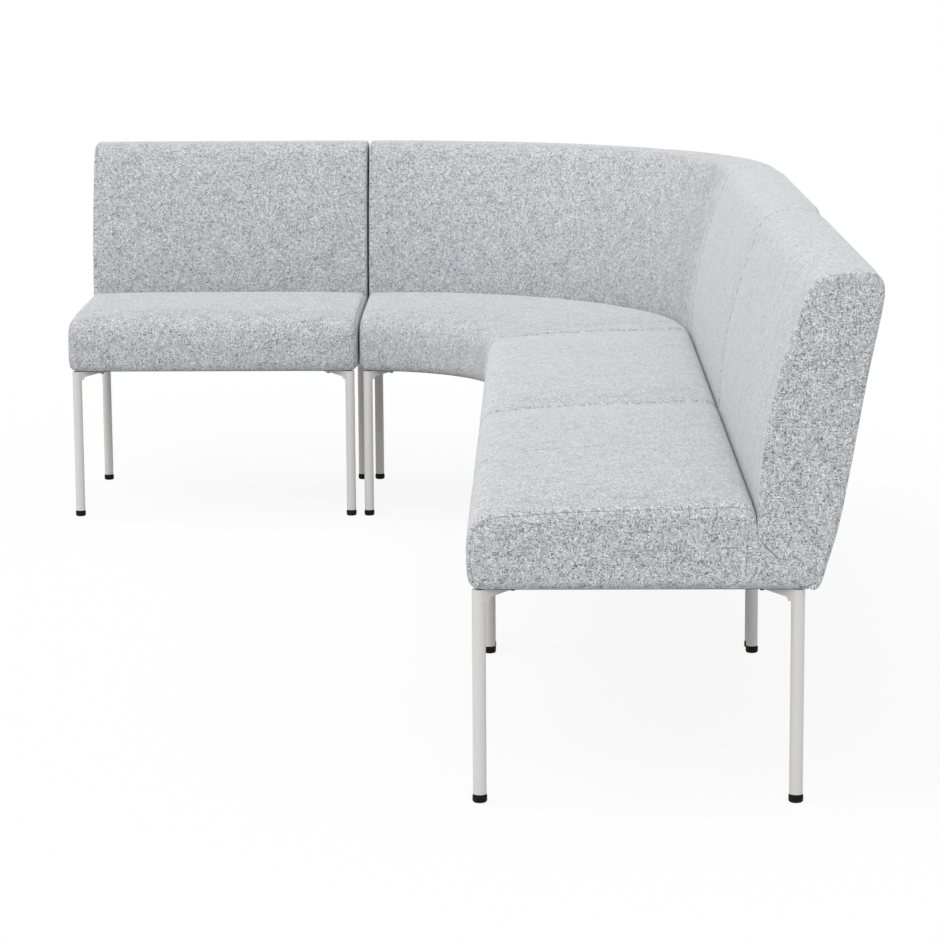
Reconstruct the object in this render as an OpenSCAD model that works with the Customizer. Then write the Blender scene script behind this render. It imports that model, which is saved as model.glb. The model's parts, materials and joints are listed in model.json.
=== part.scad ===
// Upholstered banquette bench: four modules that stand end to end in an L.
// One straight module makes the left wing, a curved module turns the inner
// corner, and two straight modules make the right wing. Each module has a
// foam seat and a foam back over wooden frames, on round tube legs.
// +Z is up. The left wing runs along -X and the right wing along -Y, with
// the backs on the +X and +Y sides. The origin is on the floor, under the
// middle of the whole bench.

/* [Plan] */
// Length of the single straight module on the left
left_w = 690; // [600:10:900]
// Length of each of the two straight modules on the right
right_w = 1100; // [900:10:1300]
// Radius of the corner's front edge
corner_r = 310; // [270:10:380]
// Gap between neighbouring modules
module_gap = 5; // [3:0.5:8]
// Depth from the seat's front to the crease under the back
seat_d = 460; // [430:5:500]
// How far the back's rear top edge lies behind the crease
back_lean = 197; // [185:1:215]

/* [Heights] */
// Height of the seat's underside above the floor
seat_base = 350; // [300:5:380]
// Thickness of the seat at its crown
seat_t = 138; // [130:1:160]
// Height of the back's top above the seat's underside
back_top = 505; // [470:5:560]

/* [Soft edges] */
// Radius of a seat's rounded ends
seat_round = 20; // [14:1:24]
// Radius of a back's rounded ends
back_round = 15; // [10:1:20]
// How far a seat's crown drops towards its ends
seat_drop = 9; // [0:1:14]
// How far a back's front face swells between its ends
back_swell = 6; // [0:1:10]
// Length over which the crown and the swell rise from an end
crown_run = 170; // [120:5:220]
// Depth of the sewn line across the end module's seat
seam_depth = 1.6; // [1:0.1:3]
// Width of the sewn line across the end module's seat
seam_w = 7; // [5:0.5:12]

/* [Legs] */
// Outside diameter of a leg tube
leg_d = 22; // [20:0.5:26]
// Wall of a leg tube
leg_wall = 1.5; // [1:0.1:2.5]
// Distance of a leg's axis from its module's end
leg_in = 19; // [16:0.5:24]
// Distance of the front legs' axis behind the seat's front
leg_front = 20; // [18:0.5:26]
// Distance of the rear legs' axis in front of the seat's rear bottom edge
leg_back_in = 18; // [14:0.5:30]
// Reach of an arm from the leg's axis to its screws
arm_reach = 70; // [60:1:80]
// Thickness of an arm beside the tube
arm_root_t = 13; // [10:0.5:16]
// Thickness of an arm at its tip
arm_tip_t = 8; // [6:0.5:9]
// Radius of an arm's rounded tip
arm_tip_r = 15; // [13:0.5:17]
// Radius of the fillet between an arm and its tube
arm_fillet = 7; // [4:0.5:10]
// Distance between the two screws of an arm
arm_screw_pitch = 13; // [11:0.5:15]

/* [Glides] */
// Diameter of a glide's pad
pad_d = 24; // [22:0.5:30]
// Height of a glide's pad
pad_h = 12; // [10:0.5:15]
// Radius of the pad's lower edge
pad_round = 4; // [2:0.5:6]
// Diameter of a glide's threaded stem
stem_d = 8; // [6:0.5:10]
// Length of a glide's stem above its pad
stem_l = 34; // [30:1:45]
// Gap between a pad and its insert when screwed right in
glide_gap = 0.5; // [0.3:0.1:2]
// Length of the threaded insert inside a tube
insert_l = 18; // [14:1:24]
// Thickness of the insert's flange under the tube
insert_flange = 1.5; // [1:0.1:2.5]

/* [Frames] */
// Width of a seat frame's rails
rail_w = 22; // [18:1:26]
// Height of a seat frame's rails
rail_h = 45; // [38:1:50]
// Thickness of a seat frame's corner blocks
block_t = 25; // [18:1:30]
// Thickness of a back frame
back_frame_t = 20; // [16:1:24]
// Width of a back frame's uprights
upright_w = 32; // [26:1:40]
// Height of a back frame's top and bottom rail
back_rail_h = 40; // [30:1:55]
// Foam and cover left around the ends of a frame
end_wall = 14; // [12:0.5:18]
// Foam and cover left in front of a seat frame
front_wall = 18; // [16:0.5:22]
// Foam and cover left between a seat frame and the back cushion
mitre_wall = 10; // [8:0.5:14]
// Thickness of a rear cover panel at its edges
cover_t = 7; // [5:0.5:9]
// Widest clear space between two ribs of a frame
rib_space = 215; // [160:5:230]

/* [Straps and covers] */
// Width of a webbing strap
strap_w = 60; // [40:5:80]
// Thickness of a webbing strap
strap_t = 1.5; // [1:0.1:2.5]
// Thickness of a dust cover
dust_t = 1.2; // [0.8:0.1:2]

/* [Fasteners] */
// Shank diameter of an arm screw
screw_d = 5; // [4:0.5:6]
// Head diameter of an arm screw
screw_head_d = 10; // [8:0.5:11]
// Head height of an arm screw
screw_head_h = 3.5; // [2.5:0.5:5]
// Length that an arm screw bites into a corner block
screw_bite = 18; // [12:1:22]
// Shank diameter of a link bolt and of a lag screw
bolt_d = 8; // [6:0.5:8]
// Width of a hexagon head across its corners
bolt_head_d = 14.5; // [13:0.5:16]
// Height of a hexagon head
bolt_head_h = 5; // [4:0.5:6]
// Length that a link bolt reaches into a frame
bolt_bite = 30; // [20:1:34]
// Length of a link plate
plate_l = 90; // [80:1:110]
// Width of a link plate
plate_w = 30; // [26:1:40]
// Thickness of a link plate
plate_t = 4; // [3:0.5:6]

/* [Hidden] */
// Rest gap between a soft part and what it lies against
soft_gap = 0.3;
// Clearance all round a frame in its pocket
pocket_gap = 0.5;
// How far the faces of a rib or an upright lie inside those of its rails
let_in = 2;
// Radial clearance of a screw or a stem in its hole
hole_gap = 0.05;
// Overrun of a cutting tool past what it cuts
over = 2;
// Facets round a full turn: of the corner, of a tube and of a screw
corner_fn = 288;
$fn = 64;
small_fn = 32;

// Width of a screw head's face, as a share of the head's
head_taper_share = 0.7;

// Angular steps round the corner, and rings in a rounded end
corner_steps = 15;
round_steps = 4;

// Colours
fabric_col = [0.75, 0.75, 0.74];
metal_col = [0.83, 0.83, 0.80];
wood_col = [0.80, 0.66, 0.46];
black_col = [0.10, 0.10, 0.11];
steel_col = [0.62, 0.63, 0.65];

// Cushion outlines. Each row is one point of a cross-section, clockwise with
// the front on the left, in shares: of seat_d, of back_lean, of the seat's
// thickness, and last how much of the lengthwise crown the point takes.
seat_shares = [
    [0.130, 0, 0, 0], [0.052, 0, 0, 0], [0.028, 0, 0.018, 0], [0.013, 0, 0.08, 0],
    [0.003, 0, 0.21, 0], [0, 0, 0.36, 0], [0.0015, 0, 0.51, 0], [0.010, 0, 0.65, 0],
    [0.027, 0, 0.77, 0.3], [0.052, 0, 0.85, 0.6], [0.091, 0, 0.90, 0.8],
    [0.174, 0, 0.945, 1], [0.326, 0, 0.985, 1], [0.522, 0, 1, 1], [0.717, 0, 0.985, 1],
    [0.870, 0, 0.945, 0.9], [0.952, 0, 0.905, 0.7], [0.985, 0, 0.862, 0.5],
    [1, 0, 0.797, 0.2], [1, 0, 0.663, 0], [1, 0.16, 0.399, 0], [1, 0.4365, 0.025, 0],
    [1, 0.406, 0, 0], [1, 0.2, 0, 0]
];

// The back's outline in shares: of back_lean, of the seat's thickness, of the
// back's height above the crease, and last how much of the swell it takes.
back_shares = [
    [0.4365, 0.025, 0, 0], [0.16, 0.399, 0, 0], [0, 0.663, 0, 0], [0, 0.797, 0, 0],
    [0.012, 0.797, 0.051, 0.2], [0.030, 0.797, 0.203, 0.8], [0.058, 0.797, 0.329, 1],
    [0.112, 0.797, 0.463, 1], [0.183, 0.797, 0.608, 1], [0.274, 0.797, 0.742, 0.8],
    [0.376, 0.797, 0.861, 0.5], [0.431, 0.797, 0.919, 0.3], [0.497, 0.797, 0.957, 0],
    [0.594, 0.797, 0.984, 0], [0.736, 0.797, 0.998, 0], [0.863, 0.797, 1, 0],
    [0.949, 0.797, 0.987, 0], [0.990, 0.797, 0.957, 0], [1, 0.797, 0.916, 0],
    [0.980, 0.797, 0.848, 0], [0.883, 0.797, 0.608, 0], [0.751, 0.797, 0.228, 0],
    [0.660, 0.797, -0.013, 0], [0.568, 0.29, 0, 0], [0.518, 0.06, 0, 0],
    [0.487, 0, 0, 0], [0.452, 0, 0, 0]
];
// The row where the back's rear face starts, and the row where it ends
rear_from = 23;
rear_to = 19;
// The rear plane of a back frame at its foot and at its head, as shares of back_lean
frame_foot_share = 0.47;
frame_head_share = 0.925;
// Where a back frame starts and ends, as shares of the seat's thickness and the back's height
frame_low_share = 0.17;
frame_high_share = 0.89;
// Where the lines of link plates lie, as shares of seat_d
plate_shares = [0.33, 0.76];
// Where the lengthwise straps lie, as shares of seat_d
strap_shares = [0.24, 0.5, 0.76];
// Where the length of a module's crown has its rings, as shares of crown_run
crown_shares = [0.3, 0.62, 1];
// Where a tab lies between its frames, as shares of the rail's height
tab_low_share = 0.48;
tab_high_share = 0.97;

// Heights
base = seat_base + soft_gap;
soft_t = seat_t - soft_gap;
crease = base + seat_shares[18][2] * soft_t;
top_h = seat_base + back_top - crease;
frame_z = seat_base + dust_t;
rail_top = frame_z + rail_h;
strap_top = rail_top + 2 * strap_t;
pocket_top = strap_top + soft_gap;
overall_d = seat_d + back_lean;

// The sloping line between seat and back, and a seat frame's bevel beside it
mitre_hi = seat_pt(seat_shares[20]);
mitre_lo = seat_pt(seat_shares[21]);
mitre_slope = (mitre_lo[0] - mitre_hi[0]) / (mitre_hi[1] - mitre_lo[1]);
function mitre_u(z) = mitre_hi[0] + (mitre_hi[1] - z) * mitre_slope;
function bevel_u(z) = mitre_u(z) - mitre_wall;
frame_front = front_wall + pocket_gap;
rear_rail_u = bevel_u(rail_top) - rail_w;
block_l = arm_reach + arm_tip_r + rail_w + leg_d;
leg_rear = mitre_lo[0] - leg_back_in;

// The rear plane of a back frame
frame_low = base + frame_low_share * soft_t;
frame_high = crease + frame_high_share * top_h;
foot_u = seat_d + frame_foot_share * back_lean;
head_u = seat_d + frame_head_share * back_lean;
function plane_u(z) = foot_u + (z - frame_low) / (frame_high - frame_low) * (head_u - foot_u);
tab_low = frame_z + tab_low_share * rail_h;
tab_high = frame_z + tab_high_share * rail_h;

// Modules
LEFT = 0;
CORNER = 1;
MIDDLE = 2;
END = 3;
module_names = ["left", "corner", "middle", "end"];
ALL = [LEFT, CORNER, MIDDLE, END];
function is_corner(m) = m == CORNER;
function length_of(m) = m == LEFT ? left_w : right_w;
max_x = overall_d;
min_x = -corner_r - module_gap - left_w;
min_y = -corner_r - 2 * module_gap - 2 * right_w;

// Leg numbers run 1 to 4, front legs first, and the corner has a fifth
function leg_count(m) = is_corner(m) ? 5 : 4;
function leg_name(m, k) = str(module_names[m], "_leg_", k);
function glide_name(m, k) = str(module_names[m], "_glide_", k);

// Puts a module's own frame in place. A straight module's own frame has its
// length along +X and its depth along +Y. The corner's has the centre of its
// curve at the origin, and its two seam planes are X = 0 and Y = 0.
module in_place(m) {
    translate([-(max_x + min_x) / 2, -(max_x + min_y) / 2, 0])
    if (m == LEFT) translate([min_x, 0, 0]) children();
    else if (m == CORNER) translate([-corner_r, -corner_r, 0]) children();
    else rotate([0, 0, -90])
        translate([corner_r + module_gap + (m == END ? right_w + module_gap : 0), 0, 0]) children();
}

// Sweeps a cross-section of depth and height through a module, its ends cut back by trim
module run(m, trim) {
    if (is_corner(m)) intersection() {
        rotate_extrude(angle = 90, $fn = corner_fn) translate([corner_r, 0]) children();
        translate([trim, trim, 0])
            cube([corner_r + 2 * overall_d, corner_r + 2 * overall_d, 2 * (seat_base + back_top)]);
    }
    else translate([trim, 0, 0]) rotate([90, 0, 90])
        linear_extrude(length_of(m) - 2 * trim) children();
}

// Evenly spaced places of ribs along a straight module
function rib_count(m) = ceil((length_of(m) - 2 * end_wall - rib_space) / (rib_space + rail_w));
function rib_places(m, w) = let (n = rib_count(m) + 1, a = end_wall + pocket_gap, b = length_of(m) - a - w)
    [for (i = [0:n]) a + (b - a) * i / n];
// Angles of the ribs inside the corner, without its two ends
rib_angles = let (n = ceil(90 * PI / 180 * (corner_r + leg_rear) / (rib_space + rail_w)))
    [for (i = [1:n - 1]) 90 * i / n];

// Turns and moves a rib, whose own frame is that of a straight module at its
// own middle, to each place where a module has one
module at_ribs(m, w) {
    if (is_corner(m)) {
        for (a = rib_angles) rotate([0, 0, -a]) translate([0, corner_r, 0]) children();
        translate([end_wall + pocket_gap + w / 2, corner_r, 0]) children();
        rotate([0, 0, -90]) translate([-end_wall - pocket_gap - w / 2, corner_r, 0]) children();
    }
    else for (t = rib_places(m, w)) translate([t + w / 2, 0, 0]) children();
}

// A rib cut from a cross-section of depth and height, w wide
module rib(w) {
    translate([-w / 2, 0, 0]) rotate([90, 0, 90]) linear_extrude(w) children();
}

// Cushions are lofts: rings of one outline at stations along the module. A
// station is [kind, place, inset, crown]. Its kind says what place measures:
// 0 the distance from the first end, 1 an angle round the corner, and 2 the
// distance from the corner's second end.
function inset(r, i) = r * (1 - sin(90 * i / round_steps));
function reach(r, i) = r * (1 - cos(90 * i / round_steps));
function smooth(x) = x >= 1 ? 1 : x * x * (3 - 2 * x);

function end_rings(r) = [for (i = [0:round_steps])
    [reach(r, i), inset(r, i), smooth(reach(r, i) / crown_run)]];
function crown_rings() = [for (s = crown_shares) [s * crown_run, 0, smooth(s)]];

// A straight module's stations, with a sewn groove across its middle if groove is above zero
function straight_stations(length, r, groove) = let (half = concat(end_rings(r), crown_rings()))
    concat(
        [for (h = half) [0, h[0], h[1], h[2]]],
        [for (side = groove > 0 ? [-1, 0, 1] : [0])
            [0, (length + side * seam_w) / 2, side == 0 ? groove : 0, 1]],
        [for (i = [len(half) - 1:-1:0]) [0, length - half[i][0], half[i][1], half[i][2]]]
    );

// The corner's stations, by distance near its ends and by angle between them
function corner_stations(r) = let (ends = end_rings(r), mid_r = corner_r + seat_d / 2)
    concat(
        [for (e = ends) [0, e[0], e[1], e[2]]],
        [for (i = [1:corner_steps - 1])
            let (a = 90 * i / corner_steps, run_in = min(a, 90 - a) * PI / 180 * mid_r)
            [1, a, 0, smooth(run_in / crown_run)]],
        [for (i = [round_steps:-1:0]) [2, ends[i][0], ends[i][1], ends[i][2]]]
    );

function stations(m, r, groove) =
    is_corner(m) ? corner_stations(r) : straight_stations(length_of(m), r, groove);

// A point at depth u and height z on a station
function straight_point(st, u, z) = [st[1], u, z];
function corner_point(st, u, z) = let (q = corner_r + u)
    st[0] == 1 ? [q * sin(st[1]), q * cos(st[1]), z] :
    st[0] == 0 ? [st[1], sqrt(q * q - st[1] * st[1]), z] : [sqrt(q * q - st[1] * st[1]), st[1], z];

function seat_pt(q) = [q[0] * seat_d + q[1] * back_lean, base + q[2] * soft_t];
function back_pt(q) = [
    seat_d + soft_gap + q[0] * (back_lean - soft_gap),
    base + q[1] * soft_t + q[2] * top_h
];

function lows(list, i) = min([for (p = list) p[i]]);
function highs(list, i) = max([for (p = list) p[i]]);

// A ring: the outline shrunk evenly towards its middle by the station's inset
function ring(points, st, shift, shares) = let (
        u0 = lows(points, 0), u1 = highs(points, 0), z0 = lows(points, 1), z1 = highs(points, 1),
        cu = (u0 + u1) / 2, cz = (z0 + z1) / 2,
        ku = 1 - 2 * st[2] / (u1 - u0), kz = 1 - 2 * st[2] / (z1 - z0))
    [for (i = [0:len(points) - 1]) let (p = points[i] + (1 - st[3]) * shares[i][3] * shift)
        [cu + (p[0] - cu) * ku, cz + (p[1] - cz) * kz]];

function average(list) = [for (k = [0:2]) [for (p = list) p[k]] * [for (p = list) 1] / len(list)];

// Lofts an outline of shares through a module's stations
module loft(m, r, outline, shares, shift, groove) {
    sts = stations(m, r, groove);
    n = len(outline);
    last = len(sts) - 1;
    rings = [for (st = sts) [for (p = ring(outline, st, shift, shares))
        is_corner(m) ? corner_point(st, p[0], p[1]) : straight_point(st, p[0], p[1])]];
    points = concat([for (one = rings) for (p = one) p], [average(rings[0]), average(rings[last])]);
    sides = [for (i = [0:last - 1]) for (j = [0:n - 1]) let (
            a = i * n + j, b = i * n + (j + 1) % n, c = b + n, d = a + n)
        each [[a, b, c], [a, c, d]]];
    caps = [for (j = [0:n - 1]) let (k = (j + 1) % n)
        each [[(last + 1) * n, k, j], [(last + 1) * n + 1, last * n + j, last * n + k]]];
    polyhedron(points, concat(sides, caps));
}

// The pocket under a seat, open below, for its frame and webbing
module seat_pocket(m) {
    run(m, end_wall) polygon([
        [front_wall, base - over], [bevel_u(base - over) + pocket_gap, base - over],
        [bevel_u(pocket_top) + pocket_gap, pocket_top], [front_wall, pocket_top]
    ]);
}

// The outline of a tab, which joins a back frame to the seat frame's bevel
module tab_outline(gap) {
    polygon([
        [bevel_u(tab_low - gap) - gap, tab_low - gap], [bevel_u(tab_high + gap) - gap, tab_high + gap],
        [plane_u(tab_high) - back_frame_t / 2, tab_high + gap],
        [plane_u(tab_low) - back_frame_t / 2, tab_low - gap]
    ]);
}

module tab_slots(m) {
    at_ribs(m, upright_w) rib(upright_w + 2 * pocket_gap) tab_outline(pocket_gap);
}

module seat_cushion(m) {
    outline = [for (q = seat_shares) seat_pt(q)];
    color(fabric_col) in_place(m) difference() {
        loft(m, seat_round, outline, seat_shares, [0, -seat_drop], m == END ? seam_depth : 0);
        seat_pocket(m);
        tab_slots(m);
    }
}

// The pocket in the rear of a back, closed by its cover panel
module back_pocket(m) {
    run(m, end_wall) polygon([
        [plane_u(frame_low) - back_frame_t - pocket_gap, frame_low - pocket_gap],
        [plane_u(frame_high) - back_frame_t - pocket_gap, frame_high + pocket_gap],
        [plane_u(frame_high) + 2 * cover_t + back_frame_t, frame_high + pocket_gap],
        [plane_u(frame_low) + 2 * cover_t + back_frame_t, frame_low - pocket_gap]
    ]);
}

module back_cushion(m) {
    color(fabric_col) in_place(m) difference() {
        loft(m, back_round, [for (q = back_shares) back_pt(q)], back_shares, [back_swell, 0], 0);
        back_pocket(m);
        tab_slots(m);
    }
}

// The rear face of a back, as depth against height
rear_table = [for (i = [rear_from:-1:rear_to]) let (p = back_pt(back_shares[i])) [p[1], p[0]]];

module rear_covers() {
    between = [for (r = rear_table) if (r[0] > frame_low && r[0] < frame_high) r[0]];
    heights = concat([frame_low + soft_gap], between, [frame_high - soft_gap]);
    low_u = let (p = back_pt(back_shares[rear_from + 1])) [[p[1], p[0]]];
    face = concat(low_u, rear_table);
    n = len(heights);
    color(fabric_col) for (m = ALL) in_place(m) run(m, end_wall + soft_gap) polygon(concat(
        [for (z = heights) [lookup(z, face), z]],
        [for (i = [n - 1:-1:0]) [plane_u(heights[i]) + pocket_gap, heights[i]]]
    ));
}

// Legs. A straight module's legs stand at its four corners. The corner's
// first two are at the seams' front ends, the next two at their rear ends,
// and the fifth is under the middle of its back.
function leg_spot(m, k) =
    let (far = length_of(m) - leg_in, f = corner_r + leg_front, b = corner_r + leg_rear)
    is_corner(m) ? [[leg_in, f, 45], [f, leg_in, 45], [leg_in, b, -45], [b, leg_in, 135],
                    [b * sin(45), b * cos(45), -135]][k - 1]
                 : [[leg_in, leg_front, 45], [far, leg_front, 135], [leg_in, leg_rear, -45],
                    [far, leg_rear, -135]][k - 1];

// Puts a leg's own frame, its axis on Z and its arm along +X, in place
module at_leg(m, k) {
    s = leg_spot(m, k);
    in_place(m) translate([s[0], s[1], 0]) rotate([0, 0, s[2]]) children();
}

module at_all_legs() {
    for (m = ALL) for (k = [1:leg_count(m)]) at_leg(m, k) children();
}

tube_z = pad_h + glide_gap + insert_flange;
arm_root_z = seat_base - arm_root_t;
arm_root_x = leg_d / 2 + arm_fillet;

module at_arm_screws() {
    for (side = [-1, 1]) translate([arm_reach, side * arm_screw_pitch / 2, 0]) children();
}

module arm() {
    fillet = [for (a = [90:15:180])
        [arm_root_x + arm_fillet * cos(a), arm_root_z - arm_fillet + arm_fillet * sin(a)]];
    intersection() {
        rotate([90, 0, 0]) linear_extrude(2 * arm_tip_r + over, center = true) polygon(concat(
            [[0, seat_base], [arm_reach + arm_tip_r, seat_base],
             [arm_reach + arm_tip_r, seat_base - arm_tip_t], [arm_reach - arm_tip_r, seat_base - arm_tip_t]],
            fillet, [[0, arm_root_z - arm_fillet]]
        ));
        linear_extrude(seat_base + over) union() {
            circle(d = leg_d);
            polygon([[0, -leg_d / 2], [arm_reach, -arm_tip_r], [arm_reach, arm_tip_r], [0, leg_d / 2]]);
            translate([arm_reach, 0]) circle(r = arm_tip_r);
        }
    }
}

module leg(m, k) {
    color(metal_col) at_leg(m, k) difference() {
        union() {
            translate([0, 0, tube_z]) cylinder(d = leg_d, h = seat_base - tube_z);
            arm();
        }
        translate([0, 0, tube_z - over]) cylinder(d = leg_d - 2 * leg_wall, h = arm_root_z - tube_z + over);
        at_arm_screws() translate([0, 0, seat_base - arm_tip_t - over])
            cylinder(d = screw_d + 2 * hole_gap, h = arm_tip_t + 2 * over, $fn = small_fn);
    }
}

module leg_inserts() {
    color(black_col) at_all_legs() difference() {
        union() {
            translate([0, 0, tube_z - insert_flange]) cylinder(d = leg_d, h = insert_flange);
            translate([0, 0, tube_z]) cylinder(d = leg_d - 2 * leg_wall, h = insert_l);
        }
        translate([0, 0, pad_h])
            cylinder(d = stem_d + 2 * hole_gap, h = insert_l + insert_flange + glide_gap + over);
    }
}

module glide(m, k) {
    edge = [for (a = [-90:22.5:0])
        [pad_d / 2 - pad_round + pad_round * cos(a), pad_round + pad_round * sin(a)]];
    color(black_col) at_leg(m, k) rotate_extrude() polygon(concat(
        [[0, 0]], edge,
        [[pad_d / 2, pad_h - glide_gap], [pad_d / 2 - glide_gap, pad_h], [stem_d / 2, pad_h],
         [stem_d / 2, pad_h + stem_l], [0, pad_h + stem_l]]
    ));
}

module arm_screws() {
    color(black_col) at_all_legs() at_arm_screws() {
        translate([0, 0, seat_base - arm_tip_t - screw_head_h])
            cylinder(d1 = head_taper_share * screw_head_d, d2 = screw_head_d,
                h = screw_head_h, $fn = small_fn);
        translate([0, 0, seat_base - arm_tip_t])
            cylinder(d = screw_d, h = arm_tip_t + dust_t + screw_bite, $fn = small_fn);
    }
}

// Holes for the arm screws through whatever lies above the arms
module arm_screw_holes(m) {
    for (k = [1:leg_count(m)]) let (s = leg_spot(m, k))
        translate([s[0], s[1], seat_base - over]) rotate([0, 0, s[2]]) at_arm_screws()
            cylinder(d = screw_d + 2 * hole_gap, h = over + dust_t + screw_bite + hole_gap, $fn = small_fn);
}

// Corner blocks: a triangle in each corner of a straight frame, and in the
// corner module a plate along each end and one over the fifth leg, let into the middle of the rails
module blocks(m) {
    front = frame_front;
    rear = bevel_u(frame_z);
    mid_front = front + rail_w / 2;
    mid_rear = rear_rail_u + rail_w / 2;
    a = end_wall + pocket_gap;
    if (is_corner(m)) translate([0, 0, frame_z]) {
        for (turn = [0, 1]) mirror([turn, -turn, 0])
            translate([a + rail_w / 2, corner_r + mid_front, 0])
                cube([block_l - a, mid_rear - mid_front, block_t]);
        rotate([0, 0, -45]) translate([-block_l / 2, corner_r + mid_rear - block_l, 0])
            cube([block_l, block_l, block_t]);
    }
    else intersection() {
        for (flip = [0, 1]) translate([flip * length_of(m), 0, frame_z]) mirror([flip, 0, 0])
            linear_extrude(block_t) {
                polygon([[a, front], [a + block_l, front], [a, front + block_l]]);
                polygon([[a, rear], [a + block_l, rear], [a, rear - block_l]]);
            }
        run(m, a) frame_area(frame_front);
    }
}

// A rib is a little lower than the rails, and ends in the middle of them
module rib_area() {
    low = frame_z + let_in;
    high = rail_top - let_in;
    polygon([
        [frame_front + rail_w / 2, low], [bevel_u(low) - rail_w / 2, low],
        [bevel_u(high) - rail_w / 2, high], [frame_front + rail_w / 2, high]
    ]);
}

module seat_frame(m) {
    color(wood_col) in_place(m) difference() {
        union() {
            run(m, end_wall + pocket_gap) {
                translate([frame_front, frame_z]) square([rail_w, rail_h]);
                frame_area(rear_rail_u);
            }
            at_ribs(m, rail_w) rib(rail_w) rib_area();
            blocks(m);
        }
        arm_screw_holes(m);
        link_bolt_holes(m);
        lag_holes(m);
    }
}

// A section of the seat frame from depth u back to its bevel
module frame_area(u) {
    polygon([[u, frame_z], [bevel_u(frame_z), frame_z], [bevel_u(rail_top), rail_top], [u, rail_top]]);
}

module dust_covers() {
    color(black_col) for (m = ALL) in_place(m) difference() {
        run(m, end_wall + pocket_gap)
            translate([frame_front, seat_base]) square([bevel_u(frame_z) - frame_front, dust_t]);
        arm_screw_holes(m);
        link_bolt_holes(m);
    }
}

// Webbing: one strap over each space between ribs, and three along the module above them
module webbing_straps() {
    spots = concat(0, rib_angles, 90);
    color(black_col) for (m = ALL) in_place(m) {
        strap = [bevel_u(strap_top) - soft_gap - frame_front, strap_t];
        if (is_corner(m)) for (i = [0:len(spots) - 2])
            rotate([0, 0, -(spots[i] + spots[i + 1]) / 2]) translate([0, corner_r, 0])
                rib(strap_w) translate([frame_front, rail_top]) square(strap);
        else {
            places = rib_places(m, rail_w);
            for (i = [0:len(places) - 2]) translate([(places[i] + places[i + 1] + rail_w) / 2, 0, 0])
                rib(strap_w) translate([frame_front, rail_top]) square(strap);
        }
        for (s = strap_shares) run(m, end_wall + pocket_gap)
            translate([s * seat_d - strap_w / 2, rail_top + strap_t]) square([strap_w, strap_t]);
    }
}

// Lag screws run level through the tabs into the rear rail, their heads sunk
// below the back frame's rear plane
lag_z = (tab_low + tab_high) / 2;
lag_seat_u = plane_u(lag_z - bolt_head_d) - bolt_head_h;
lag_l = lag_seat_u - rear_rail_u - rail_w / 3;

module at_lags(m) {
    at_ribs(m, upright_w) translate([0, lag_seat_u, lag_z]) rotate([90, 0, 0]) children();
}

module lag_holes(m) {
    at_lags(m) {
        translate([0, 0, -over])
            cylinder(d = bolt_d + 2 * hole_gap, h = lag_l + over + hole_gap, $fn = small_fn);
        translate([0, 0, -back_frame_t])
            cylinder(d = bolt_head_d + 2 * pocket_gap, h = back_frame_t, $fn = small_fn);
    }
}

module back_lag_screws() {
    color(steel_col) for (m = ALL) in_place(m) at_lags(m) {
        cylinder(d = bolt_d, h = lag_l, $fn = small_fn);
        translate([0, 0, -bolt_head_h]) cylinder(d = bolt_head_d, h = bolt_head_h, $fn = 6);
    }
}

module back_frame_area(low, high) {
    polygon([
        [plane_u(low) - back_frame_t, low], [plane_u(high) - back_frame_t, high],
        [plane_u(high), high], [plane_u(low), low]
    ]);
}

// An upright is a little thinner than the rails, and ends in the middle of them
module upright_area() {
    low = frame_low + back_rail_h / 2;
    high = frame_high - back_rail_h / 2;
    polygon([
        [plane_u(low) - back_frame_t + let_in, low],
        [plane_u(high) - back_frame_t + let_in, high],
        [plane_u(high) - let_in, high], [plane_u(low) - let_in, low]
    ]);
}

module back_frame(m) {
    color(wood_col) in_place(m) difference() {
        union() {
            run(m, end_wall + pocket_gap) {
                back_frame_area(frame_low, frame_low + back_rail_h);
                back_frame_area(frame_high - back_rail_h, frame_high);
            }
            at_ribs(m, upright_w) rib(upright_w) {
                upright_area();
                tab_outline(0);
            }
        }
        lag_holes(m);
    }
}

// Link plates lie across each seam, bolted up into the end ribs on both sides
bolt_in = end_wall + pocket_gap + rail_w / 2;

module link_bolt_hole(at) {
    translate([at[0], at[1], seat_base - over])
        cylinder(d = bolt_d + 2 * hole_gap, h = over + bolt_bite + hole_gap, $fn = small_fn);
}

function bolt_spots(m) = [for (s = plate_shares) each
    is_corner(m) ? [[bolt_in, corner_r + s * seat_d], [corner_r + s * seat_d, bolt_in]]
                 : [[bolt_in, s * seat_d], [length_of(m) - bolt_in, s * seat_d]]];

module link_bolt_holes(m) {
    for (at = bolt_spots(m)) link_bolt_hole(at);
}

// Puts a plate's own frame, its middle on the seam, at the front and rear of each seam
module at_links() {
    seams = [[LEFT, left_w + module_gap / 2], [MIDDLE, -module_gap / 2], [END, -module_gap / 2]];
    for (seam = seams) in_place(seam[0]) for (s = plate_shares)
        translate([seam[1], s * seat_d, seat_base]) children();
}

module at_link_bolts() {
    for (side = [-1, 1]) translate([side * (bolt_in + module_gap / 2), 0, -plate_t]) children();
}

module link_plates() {
    color(steel_col) at_links() difference() {
        translate([0, 0, -plate_t]) linear_extrude(plate_t) union() {
            square([plate_l - plate_w, plate_w], center = true);
            for (side = [-1, 1]) translate([side * (plate_l - plate_w) / 2, 0]) circle(d = plate_w);
        }
        at_link_bolts() translate([0, 0, -over])
            cylinder(d = bolt_d + 2 * hole_gap, h = plate_t + 2 * over, $fn = small_fn);
    }
}

module link_bolts() {
    color(steel_col) at_links() at_link_bolts() {
        translate([0, 0, -bolt_head_h]) cylinder(d = bolt_head_d, h = bolt_head_h, $fn = 6);
        cylinder(d = bolt_d, h = plate_t + bolt_bite, $fn = small_fn);
    }
}

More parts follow.
